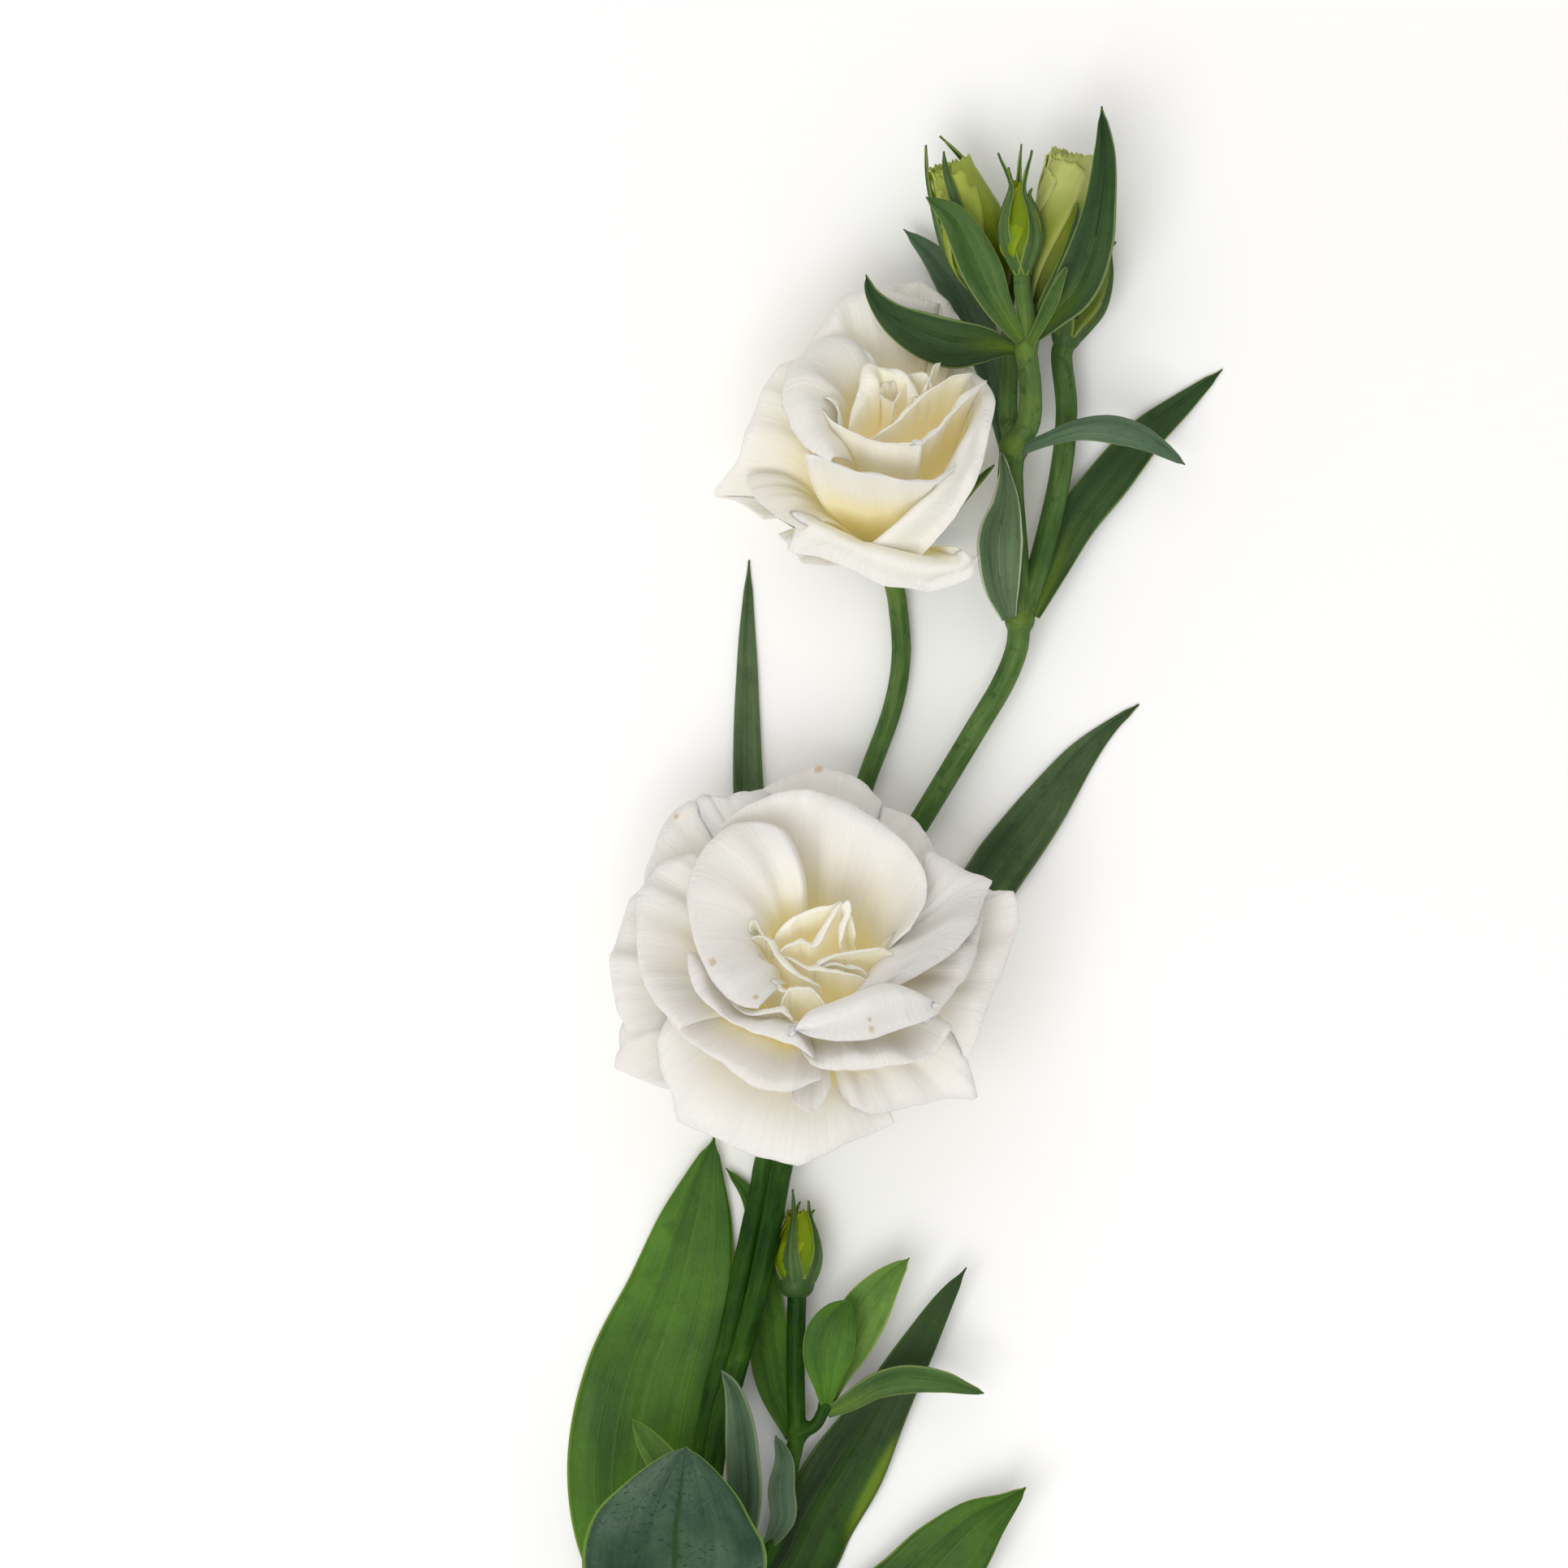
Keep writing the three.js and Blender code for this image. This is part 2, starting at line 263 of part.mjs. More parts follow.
// The core that holds the petals' roots, as [radius, height] pairs
const BLOOM_CORE = [[2.8, 0.35], [5.6, 3.4], [7.4, 8], [6.8, 11.5], [3, 14]];
const BUD_CUP = { rise: 2.2, waist: 0.9, wall: 1.1, drop: 0.5 };

// How a petal leaves the core: its root's height and distance from the axis, the half-width of the root,
// how far the petal's middle line draws its sides in, and the share of its length that the belly takes
const ROOT = { height: 2.6, radius: 2, spread: 1.3, pull: 3, belly: 0.42 };
const PETAL_RIPPLE = 0.5;

// Furled bud petals: lobes round the bud, how far they wind, how much each stands over the next, how
// ragged the rim is, and the funnel in the top as [share of the radius, depth]
const FURL = { lobes: 5, wind: 1.2, step: 0.09, ragged: 0.5, funnel: [[0.62, 1], [0.3, 2.2]] };

// A bloom's sepals sag below a straight line by sag at [share of the way]
const BLOOM_SEPAL = { widths: [1.4, 1.6, 1, 0.3], fold: 16, rows: 4, sag: [[0.35, 0.8], [0.7, 0.6]] };
// A bud's sepals start in its cup and lie beside its petals at these shares of its length
const BUD_SEPAL = { widths: [1.4, 1.9, 1.7, 1.2, 0.7, 0.25], fold: -16, rows: 4, beside: [0.1, 0.3, 0.5, 0.72] };
const SEPAL_ROOT = { depth: 0.6, reach: 1, swell: 1.05 };
const PEDICEL_LEAD = 2.2;

// Colours, read from the photograph
const material = (color, roughness) => new THREE.MeshStandardMaterial({ color, roughness, metalness: 0 });
const PETAL_WHITE = material(0xf3efe6, 0.6);
const BUD_GREEN = material(0xb4be62, 0.6);
const SEPAL_GREEN = material(0x4f7256, 0.6);
const STEM_GREEN = material(0x4f7a45, 0.55);
const UPPER_LEAF_GREEN = material(0x44654f, 0.6);
const LOWER_LEAF_GREEN = material(0x3b6b2f, 0.55);

// Small helpers
const radians = THREE.MathUtils.degToRad;
const point = ([x, y, z]) => new THREE.Vector3(x, y, z);
const through = (places) => new THREE.CatmullRomCurve3(places.map(point), false, 'catmullrom', 0.5);
const steps = (count) => Array.from({ length: count + 1 }, (_, i) => i / count);
const UP = new THREE.Vector3(0, 0, 1);

// Reads a row of numbers as a smooth curve of its share t
function smoothly(values) {
  const curve = through(values.map((value) => [value, 0, 0]));
  return (t) => curve.getPoint(t).x;
}

// Geometry from vertices and triangles
function geometryOf(vertices, triangles) {
  const geometry = new THREE.BufferGeometry();
  const flat = vertices.flatMap((v) => [v.x, v.y, v.z]);
  geometry.setAttribute('position', new THREE.Float32BufferAttribute(flat, 3));
  geometry.setIndex(triangles.flat());
  return geometry;
}

// A manifold solid of a closed geometry
function solidOf(geometry) {
  const bare = geometry.clone();
  bare.deleteAttribute('normal');
  bare.deleteAttribute('uv');
  const merged = mergeVertices(bare, 1e-4);
  const triVerts = new Uint32Array(merged.index.array);
  const vertProperties = new Float32Array(merged.attributes.position.array);
  return new wasm.Manifold(new wasm.Mesh({ numProp: 3, vertProperties, triVerts }));
}

// Unites solids, drops loose scraps and fills sealed hollows: only the largest body is kept
function fuse(solids) {
  const bodies = wasm.Manifold.union(solids).simplify(SMALLEST_FACET).decompose();
  return bodies.reduce((best, body) => (body.volume() > best.volume() ? body : best));
}

// Cuts the surface's side away, so that what dips into it ends in a flat spot
const floorBlock = new THREE.BoxGeometry(FLOOR_SIDE, FLOOR_SIDE, FLOOR_DEPTH);
floorBlock.translate(0, 0, -FLOOR_DEPTH / 2);
const floorSolid = solidOf(floorBlock);
const restOnFloor = (solid) => fuse([solid.subtract(floorSolid)]);

// A closed skin over rings of points, each ring counter-clockwise round the way the rings run
function skin(rings) {
  const count = rings[0].length;
  const middle = (ring) => ring.reduce((sum, v) => sum.add(v), new THREE.Vector3()).divideScalar(count);
  const vertices = [...rings.flat(), middle(rings[0]), middle(rings.at(-1))];
  const startHub = rings.length * count;
  const triangles = [];
  for (let i = 0; i < rings.length; i++) {
    for (let j = 0; j < count; j++) {
      const next = (j + 1) % count;
      const [a, b] = [i * count + j, i * count + next];
      if (i === 0) triangles.push([startHub, b, a]);
      if (i === rings.length - 1) triangles.push([startHub + 1, a, b]);
      else triangles.push([a, b, b + count], [a, b + count, a + count]);
    }
  }
  return solidOf(geometryOf(vertices, triangles));
}

// Where a pedicel ends: just under the cup of what it carries, square to its axis
function footOf(name) {
  const [{ base, axis }, depth] = name in BUDS
    ? [budFrame(BUDS[name]), BUD_CUP.rise]
    : [bloomFrame(BLOOMS[name]), BLOOM_CUP.height];
  const foot = base.clone().addScaledVector(axis, -depth - CLEARANCE);
  return [foot.clone().addScaledVector(axis, -PEDICEL_LEAD).toArray(), foot.toArray()];
}

// A round rod along a smooth path, its radius going evenly from one end to the other
function rod({ path, radii, carries }, extra = 0) {
  const places = carries ? [...path, ...footOf(carries)] : path;
  const curve = through(places);
  const count = Math.max(FEWEST_STEM_STEPS, Math.round(curve.getLength() / STEM_STEP));
  const frames = curve.computeFrenetFrames(count, false);
  const rings = steps(count).map((t, i) => {
    const radius = THREE.MathUtils.lerp(radii[0], radii[1], t) + extra;
    const centre = curve.getPointAt(t);
    return Array.from({ length: STEM_SIDES }, (_, j) => {
      const turn = (2 * Math.PI * (j + 0.5)) / STEM_SIDES;
      return centre.clone()
        .addScaledVector(frames.normals[i], radius * Math.cos(turn))
        .addScaledVector(frames.binormals[i], radius * Math.sin(turn));
    });
  });
  return skin(rings);
}

// A swollen node on a stem
function knot([x, y, z, radius], extra = 0) {
  const ball = new THREE.IcosahedronGeometry(radius + extra, 1);
  ball.translate(x, y, z);
  return solidOf(ball);
}

// All the stems in one body, thicker by extra for the clearance that leaves keep
function stemBody(extra = 0) {
  const rods = Object.values(STEMS).map((stem) => rod(stem, extra));
  const knots = Object.values(NODES).map((node) => knot(node, extra));
  return fuse([...rods, ...knots]);
}

// A thin closed blade over a grid of points, split into the same triangles on both faces
function blade(grid, thickness) {
  const [rows, columns] = [grid.length, grid[0].length];
  const at = (i, j) => grid[Math.min(Math.max(i, 0), rows - 1)][Math.min(Math.max(j, 0), columns - 1)];
  const normalAt = (i, j) => {
    const along = at(i + 1, j).clone().sub(at(i - 1, j));
    const across = at(i, j + 1).clone().sub(at(i, j - 1));
    return across.cross(along).normalize();
  };
  const face = (side) => grid.flatMap((row, i) => row.map((place, j) => (
    place.clone().addScaledVector(normalAt(i, j), side * thickness / 2))));
  const vertices = [...face(1), ...face(-1)];
  const below = rows * columns;
  const triangles = [];
  const quad = (a, b, c, d) => triangles.push([a, b, c], [a, c, d]);
  for (let i = 0; i < rows - 1; i++) {
    for (let j = 0; j < columns - 1; j++) {
      const [a, b, c, d] = [i * columns + j, i * columns + j + 1, (i + 1) * columns + j + 1, (i + 1) * columns + j];
      triangles.push([a, b, c], [a, c, d], [below + a, below + c, below + b], [below + a, below + d, below + c]);
    }
    const [left, right] = [i * columns, (i + 1) * columns - 1];
    quad(left, left + columns, below + left + columns, below + left);
    quad(below + right, below + right + columns, right + columns, right);
  }
  for (let j = 0; j < columns - 1; j++) {
    const last = (rows - 1) * columns + j;
    quad(j, below + j, below + j + 1, j + 1);
    quad(last + 1, below + last + 1, below + last, last);
  }
  return solidOf(geometryOf(vertices, triangles));
}

// The grid of a leaf or sepal along its rib. face is the way that its upper side looks.
function leafGrid({ rib, widths, lean = 0, fold = 0, rows, face = UP }) {
  const path = through(rib);
  const widthAt = smoothly(widths);
  return steps(rows).map((t) => {
    const tangent = path.getTangent(t);
    const side = tangent.clone().cross(face).normalize().applyAxisAngle(tangent, radians(-lean));
    const normal = side.clone().cross(tangent);
    return steps(LEAF_COLUMNS).map((s) => {
      const reach = (2 * s - 1) * Math.max(widthAt(t), SLIMMEST_HALF_WIDTH);
      const rise = Math.abs(reach) * Math.sin(radians(fold));
      return path.getPoint(t)
        .addScaledVector(side, reach * Math.cos(radians(fold)))
        .addScaledVector(normal, rise);
    });
  });
}

// The axis of a bloom and two directions square to it
function bloomFrame({ base, lean }) {
  const axis = new THREE.Vector3(0, Math.sin(radians(lean)), Math.cos(radians(lean)));
  const right = new THREE.Vector3(1, 0, 0);
  return { base: point(base), axis, right, ahead: axis.clone().cross(right) };
}

// A rim point given by its x, its y and its height along the bloom's axis
function rimPoint([x, y, height], { base, axis }) {
  const z = base.z + (height - (x - base.x) * axis.x - (y - base.y) * axis.y) / axis.z;
  return new THREE.Vector3(x, y, z);
}

// The part of a point's place that is square to the axis
function outward(place, { base, axis }) {
  const reach = place.clone().sub(base);
  return reach.addScaledVector(axis, -reach.dot(axis));
}

// The grid of a petal: from each root point a cubic curve runs out to the rim
function petalGrid({ rim, belly, flare, lip, columns, rows }, frame) {
  const { base, axis } = frame;
  const rimCurve = through(rim.map((place) => rimPoint(place, frame).toArray()));
  const middle = outward(rimCurve.getPoint(0.5), frame).normalize();
  const sideways = axis.clone().cross(middle);
  const root = base.clone().addScaledVector(axis, ROOT.height).addScaledVector(middle, ROOT.radius);
  const span = outward(rimCurve.getPoint(1), frame).sub(outward(rimCurve.getPoint(0), frame));
  const tendency = Math.sign(span.dot(sideways));
  const lines = steps(columns).map((s) => {
    const end = rimCurve.getPoint(s);
    const start = root.clone().addScaledVector(sideways, tendency * ROOT.spread * (2 * s - 1));
    const out = outward(end, frame).addScaledVector(middle, ROOT.pull).normalize();
    const length = start.distanceTo(end);
    const heading = (angle) => axis.clone().multiplyScalar(Math.cos(radians(angle)))
      .addScaledVector(out, Math.sin(radians(angle)));
    const leave = start.clone().addScaledVector(heading(belly), ROOT.belly * length);
    const arrive = end.clone().addScaledVector(heading(flare), -lip * length);
    const wave = heading(flare + 90).multiplyScalar(PETAL_RIPPLE * Math.cos(s * columns * Math.PI));
    return { curve: new THREE.CubicBezierCurve3(start, leave, arrive, end), wave };
  });
  return steps(rows).map((t) => lines.map(({ curve, wave }) => (
    curve.getPoint(t).addScaledVector(wave, t * t * t))));
}

// All the petals of a bloom on the core that holds their roots
function bloomBody(bloom, petals) {
  const frame = bloomFrame(bloom);
  const blades = Object.values(petals).map((petal) => blade(petalGrid(petal, frame), PETAL_THICKNESS));
  return fuse([turned(BLOOM_CORE, frame), ...blades]);
}

// A solid of revolution about a frame's axis through [radius, height] pairs
function turned(profile, frame) {
  return skin(profile.map(([radius, height]) => Array.from({ length: CUP_SIDES }, (_, j) => (
    spoke(frame, (360 * j) / CUP_SIDES, radius, height)))));
}

// A point at an angle round a frame's axis, at a radius from it and a height along it
function spoke({ base, axis, right, ahead }, turn, radius, height) {
  return base.clone()
    .addScaledVector(axis, height)
    .addScaledVector(right, radius * Math.cos(radians(turn)))
    .addScaledVector(ahead, radius * Math.sin(radians(turn)));
}

// The direction away from a frame's axis at an angle round it
function awayFrom({ right, ahead }, turn) {
  return right.clone().multiplyScalar(Math.cos(radians(turn))).addScaledVector(ahead, Math.sin(radians(turn)));
}

// A bloom's green cup and its five spreading sepals
function bloomCalyx(bloom, sepals) {
  const frame = bloomFrame(bloom);
  const { foot, waist, rim, height } = BLOOM_CUP;
  const cup = turned([[foot, -height], [waist, -height / 2], [rim, 0]], frame);
  const blades = sepals.map(([turn, ...tip]) => {
    const start = spoke(frame, turn, rim / 2, -height / 2);
    const sagging = BLOOM_SEPAL.sag.map(([share, sag]) => (
      start.clone().lerp(point(tip), share).addScaledVector(frame.axis, -sag).toArray()));
    const rib = [start.toArray(), ...sagging, tip];
    return blade(leafGrid({ ...BLOOM_SEPAL, rib, face: frame.axis }), SEPAL_THICKNESS);
  });
  return fuse([cup, ...blades]);
}

// The frame of a bud and its length: ahead looks up and right lies level
function budFrame({ base, top }) {
  const axis = point(top).sub(point(base));
  const length = axis.length();
  axis.normalize();
  const right = UP.clone().cross(axis).normalize();
  return { base: point(base), axis, right, ahead: axis.clone().cross(right), length };
}

// A bud's furled petals: lobes wind round it, the rim is ragged and a funnel sinks into the top
function budBody(bud) {
  const frame = budFrame(bud);
  const girthAt = smoothly(bud.girth);
  const ring = (t, share, sink) => Array.from({ length: BUD_SIDES }, (_, j) => {
    const lobe = ((FURL.lobes * j) / BUD_SIDES + FURL.wind * t) % 1;
    const radius = share * girthAt(t) * (1 + FURL.step * (lobe - 0.5));
    const rim = t === 1 ? FURL.ragged * Math.cos(Math.PI * j) : 0;
    return spoke(frame, (360 * j) / BUD_SIDES, radius, t * frame.length + rim - sink);
  });
  const wall = steps(BUD_ROWS).map((t) => ring(t, 1, 0));
  const funnel = FURL.funnel.map(([share, depth]) => ring(1, share, depth));
  return skin([...wall, ...funnel]);
}

// A bud's green cup below the petals and its long sepals lying against them
function budCalyx(bud) {
  const frame = budFrame(bud);
  const girthAt = smoothly(bud.girth);
  const foot = girthAt(0);
  const { rise, waist, wall, drop } = BUD_CUP;
  const cup = turned([[foot, -rise], [foot + waist, -rise / 2], [foot + wall, -drop]], frame);
  const clear = SEPAL_THICKNESS / 2 + 2 * CLEARANCE;
  const blades = bud.sepals.map(([turn, ...tip]) => {
    const start = spoke(frame, turn, foot * SEPAL_ROOT.reach, -rise * SEPAL_ROOT.depth);
    const along = BUD_SEPAL.beside.map((t) => (
      spoke(frame, turn, girthAt(t) * SEPAL_ROOT.swell + clear, t * frame.length).toArray()));
    const rib = [start.toArray(), ...along, tip];
    return blade(leafGrid({ ...BUD_SEPAL, rib, face: awayFrom(frame, turn) }), SEPAL_THICKNESS);
  });
  return fuse([cup, ...blades]);
}

// The finished meshes
const flower = new THREE.Group();

function addPiece(name, solid, look) {
  const { vertProperties, triVerts } = solid.getMesh();
  const geometry = new THREE.BufferGeometry();
  geometry.setAttribute('position', new THREE.BufferAttribute(new Float32Array(vertProperties), 3));
  geometry.setIndex(new THREE.BufferAttribute(new Uint32Array(triVerts), 1));
  geometry.computeVertexNormals();
  const mesh = new THREE.Mesh(geometry, look);
  mesh.name = name;
  flower.add(mesh);
}

const stemClearance = stemBody(CLEARANCE);
addPiece('stem', restOnFloor(stemBody()), STEM_GREEN);

addPiece('lower_bloom_petals', bloomBody(LOWER_BLOOM, LOWER_PETALS), PETAL_WHITE);
addPiece('lower_bloom_calyx', bloomCalyx(LOWER_BLOOM, BLOOM_SEPALS.lower), SEPAL_GREEN);
addPiece('upper_bloom_petals', bloomBody(UPPER_BLOOM, UPPER_PETALS), PETAL_WHITE);
addPiece('upper_bloom_calyx', restOnFloor(bloomCalyx(UPPER_BLOOM, BLOOM_SEPALS.upper)), SEPAL_GREEN);

for (const [name, bud] of Object.entries(BUDS)) {
  addPiece(`${name}_petals`, budBody(bud), BUD_GREEN);
  addPiece(`${name}_calyx`, budCalyx(bud), SEPAL_GREEN);
}

for (const [name, leaf] of Object.entries(LEAVES)) {
  const cut = blade(leafGrid(leaf), LEAF_THICKNESS).subtract(stemClearance);
  const look = leaf.rib[0][1] < LOWER_BLOOM.base[1] ? LOWER_LEAF_GREEN : UPPER_LEAF_GREEN;
  addPiece(name, restOnFloor(cut), look);
}

// The origin under the middle of the box
const box = new THREE.Box3().setFromObject(flower);
const centre = box.getCenter(new THREE.Vector3());
flower.position.set(-centre.x, -centre.y, -box.min.z);

export default flower;
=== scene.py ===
# %% [markdown]
# A cut stem of white lisianthus, dressed for its portrait
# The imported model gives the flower's solids where they lie. This lesson replaces each of them with a
# finer piece in the same place: petals that roll at their rims, furled buds, ribbed stems and leaves with
# sunken veins. Every length in the tables is in millimetres, as a gardener would measure it, and heights
# count from the surface that the flower lies on. One function turns them into metres in the model's own
# frame.

# %% Load the fixed frame
import math

import bpy
import numpy as np
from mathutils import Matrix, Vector
from mathutils.kdtree import KDTree


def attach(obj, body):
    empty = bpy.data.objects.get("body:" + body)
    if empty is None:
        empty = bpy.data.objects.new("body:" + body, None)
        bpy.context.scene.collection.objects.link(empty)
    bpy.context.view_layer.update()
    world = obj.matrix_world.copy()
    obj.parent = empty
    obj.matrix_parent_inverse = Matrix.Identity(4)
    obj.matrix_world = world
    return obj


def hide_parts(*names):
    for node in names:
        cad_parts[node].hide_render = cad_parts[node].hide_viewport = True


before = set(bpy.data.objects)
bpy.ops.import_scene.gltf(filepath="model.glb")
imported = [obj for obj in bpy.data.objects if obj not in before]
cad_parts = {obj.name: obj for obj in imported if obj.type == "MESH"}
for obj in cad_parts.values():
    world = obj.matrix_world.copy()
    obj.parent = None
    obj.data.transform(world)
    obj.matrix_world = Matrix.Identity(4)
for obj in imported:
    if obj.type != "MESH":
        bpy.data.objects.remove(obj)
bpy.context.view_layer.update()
print("nodes in the frame:", len(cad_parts))

# %% [markdown]
# Units and curves
# The tables count from the middle of the photograph, and the model from the middle of its box. The box's
# middle in the tables' numbers is all that lies between them. The curves used here go through every
# point that they are given, so a petal's rim or a leaf's rib can be written as a few given places. A few
# more helpers put points into a mesh, and a mesh into the scene.

# %% Millimetres, metres and smooth curves
MM = 0.001
TURN = 2 * math.pi
BOX_MIDDLE = np.array([19.388, -36.780, 0.0])


def to_frame(points):
    """Points in the tables' millimetres, as metres in the model's frame."""
    return (np.asarray(points, float) - BOX_MIDDLE) * MM


def unit(vectors):
    """The same directions, one long."""
    return vectors / np.maximum(np.linalg.norm(vectors, axis=-1, keepdims=True), 1e-9)


def through(points, shares):
    """A smooth curve through points, read at shares from 0 to 1 of its way."""
    p = np.asarray(points, float)
    p = p[:, None] if p.ndim == 1 else p
    padded = np.vstack([2 * p[0] - p[1], p, 2 * p[-1] - p[-2]])
    place = np.clip(np.asarray(shares, float), 0, 1) * (len(p) - 1)
    i = np.minimum(place.astype(int), len(p) - 2)
    w = (place - i)[:, None]
    before, start, end, after = padded[i], padded[i + 1], padded[i + 2], padded[i + 3]
    leave, arrive = (end - before) / 2, (after - start) / 2
    return (start * (2 * w**3 - 3 * w**2 + 1) + leave * (w**3 - 2 * w**2 + w)
            + end * (3 * w**2 - 2 * w**3) + arrive * (w**3 - w**2))


def cubic(a, b, c, d, t):
    """A cubic curve from a to d that leaves towards b and comes in from c."""
    t = np.asarray(t)[:, None, None]
    return a * (1 - t)**3 + 3 * b * t * (1 - t)**2 + 3 * c * t**2 * (1 - t) + d * t**3


def wander(shares, seed, waves=3, terms=4):
    """A smooth random line between about -1 and 1, the same for the same seed."""
    rng = np.random.default_rng(seed)
    total = np.zeros_like(shares, dtype=float)
    for k in range(1, terms + 1):
        total += np.sin(TURN * (waves * k * shares / 2 + rng.random())) * rng.uniform(0.5, 1) / k
    return total / 1.6


print("the tables' origin lies at", [round(v, 4) for v in to_frame([0, 0, 0])], "in the model")

# %% From points to pieces
def placed(name, data):
    """A new object in the scene, at the origin, that shows some data."""
    made = bpy.data.objects.new(name, data)
    bpy.context.scene.collection.objects.link(made)
    return made


def keep_values(mesh, **values):
    """Keeps a number for each point of a mesh, by name, for its material to read."""
    for name, numbers in values.items():
        mesh.attributes.new(name, "FLOAT", "POINT").data.foreach_set("value", numbers)


def mesh_piece(name, points, faces, material, **values):
    """A smooth piece from points in the tables' millimetres, with its material and its points' numbers."""
    mesh = bpy.data.meshes.new(name)
    mesh.from_pydata(to_frame(points), [], faces, shade_flat=False)
    keep_values(mesh, **values)
    mesh.materials.append(material)
    return placed(name, mesh)


def baked(thing, name):
    """What an object's modifiers make of it, as a plain mesh in a new object; the old one goes."""
    bpy.context.view_layer.update()
    mesh = bpy.data.meshes.new_from_object(thing.evaluated_get(bpy.context.evaluated_depsgraph_get()))
    mesh.name = name
    bpy.data.objects.remove(thing)
    return placed(name, mesh)


def joined(pieces):
    """Several pieces as one, under the first one's name."""
    if len(pieces) > 1:
        with bpy.context.temp_override(active_object=pieces[0], selected_editable_objects=pieces):
            bpy.ops.object.join()
    return pieces[0]


def settle(piece, slot, *nodes):
    """Says which nodes a finished piece stands for, hides them and hangs the piece under the root; slot is
    not used.
    """
    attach(piece, "root")
    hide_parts(*nodes)
    print(f"{piece.name}: {len(piece.data.polygons)} faces for {', '.join(nodes)}")


# %% [markdown]
# A short way to write node trees
# A material is a sum of small ideas: a vein here, a blush there. Written as nodes and links it is hard to
# read, so one class wraps a socket and lets Python's own signs add the Math nodes. Any other node comes
# from one method. Geometry Nodes share those Math nodes, so the leaves' trees are written in the same
# way.

# %% Node maths as plain expressions
class Field:
    """A value on its way through a node tree. Its signs add Math nodes."""

    def __init__(self, tree, socket):
        self.tree = tree
        self.socket = socket

    def _math(self, operation, *values):
        return self.tree.node("ShaderNodeMath", {"operation": operation}, dict(enumerate(values)))

    def __add__(self, other):
        return self._math("ADD", self, other)

    def __radd__(self, other):
        return self._math("ADD", other, self)

    def __sub__(self, other):
        return self._math("SUBTRACT", self, other)

    def __rsub__(self, other):
        return self._math("SUBTRACT", other, self)

    def __mul__(self, other):
        return self._math("MULTIPLY", self, other)

    def __rmul__(self, other):
        return self._math("MULTIPLY", other, self)

    def __truediv__(self, other):
        return self._math("DIVIDE", self, other)

    def __pow__(self, other):
        return self._math("POWER", self, other)

    def size(self):
        return self._math("ABSOLUTE", self)

    def sign(self):
        return self._math("SIGN", self)

    def larger(self, other):
        return self._math("MAXIMUM", self, other)

    def sine(self):
        return self._math("SINE", self)

    def cosine(self):
        return self._math("COSINE", self)

    def ramp(self, low, high):
        """0 below low, 1 above high and smooth between them."""
        settings = {"interpolation_type": "SMOOTHSTEP", "clamp": True}
        sockets = {"Value": self, "From Min": low, "From Max": high}
        return self.tree.node("ShaderNodeMapRange", settings, sockets)

    def band(self, middle, half_width):
        """1 at middle, falling smoothly to 0 at half_width from it."""
        return 1 - (self - middle).size().ramp(0, half_width)


print("plus, minus, times, over and power now add Math nodes")

# %% A node tree as calls
class Tree:
    """A node tree that is written as calls."""

    def __init__(self, tree):
        self.tree = tree

    def node(self, kind, settings=None, sockets=None, output=0):
        """Adds a node: its settings first, then the values or links of its sockets."""
        made = self.tree.nodes.new(kind)
        for key, value in (settings or {}).items():
            if key == "stops":
                self._stops(made.color_ramp, value)
            else:
                setattr(made, key, value)
        for key, value in (sockets or {}).items():
            self.set(made.inputs[key], value)
        if isinstance(output, tuple):
            return [Field(self, made.outputs[key]) for key in output]
        return Field(self, made.outputs[output])

    def _stops(self, ramp, stops):
        while len(ramp.elements) < len(stops):
            ramp.elements.new(0.5)
        for element, (place, colour) in zip(ramp.elements, stops):
            element.position = place
            element.color = (*colour, 1)

    def set(self, socket, value):
        if isinstance(value, Field):
            self.tree.links.new(value.socket, socket)
        elif socket.type == "RGBA" and len(value) == 3:
            socket.default_value = (*value, 1)
        else:
            socket.default_value = value

    def vector(self, x, y, z):
        return self.node("ShaderNodeCombineXYZ", sockets={0: x, 1: y, 2: z})

    def parts(self, vector):
        """A vector's three numbers."""
        return self.node("ShaderNodeSeparateXYZ", sockets={0: vector}, output=(0, 1, 2))

    def vectors(self, operation, *values):
        return self.node("ShaderNodeVectorMath", {"operation": operation}, dict(enumerate(values)))

    def scaled(self, vector, amount):
        return self.node("ShaderNodeVectorMath", {"operation": "SCALE"}, {0: vector, "Scale": amount})

    def noise(self, vector, scale, detail=3, roughness=0.5):
        sockets = {"Vector": vector, "Scale": scale, "Detail": detail, "Roughness": roughness}
        return self.node("ShaderNodeTexNoise", sockets=sockets)

    def streaks(self, across, along, other=0.0, detail=3, roughness=0.5):
        """Noise that is drawn out by a piece's own numbers instead of its place."""
        return self.noise(self.vector(across, along, other), 1.0, detail, roughness)


print("node trees can be written as calls")

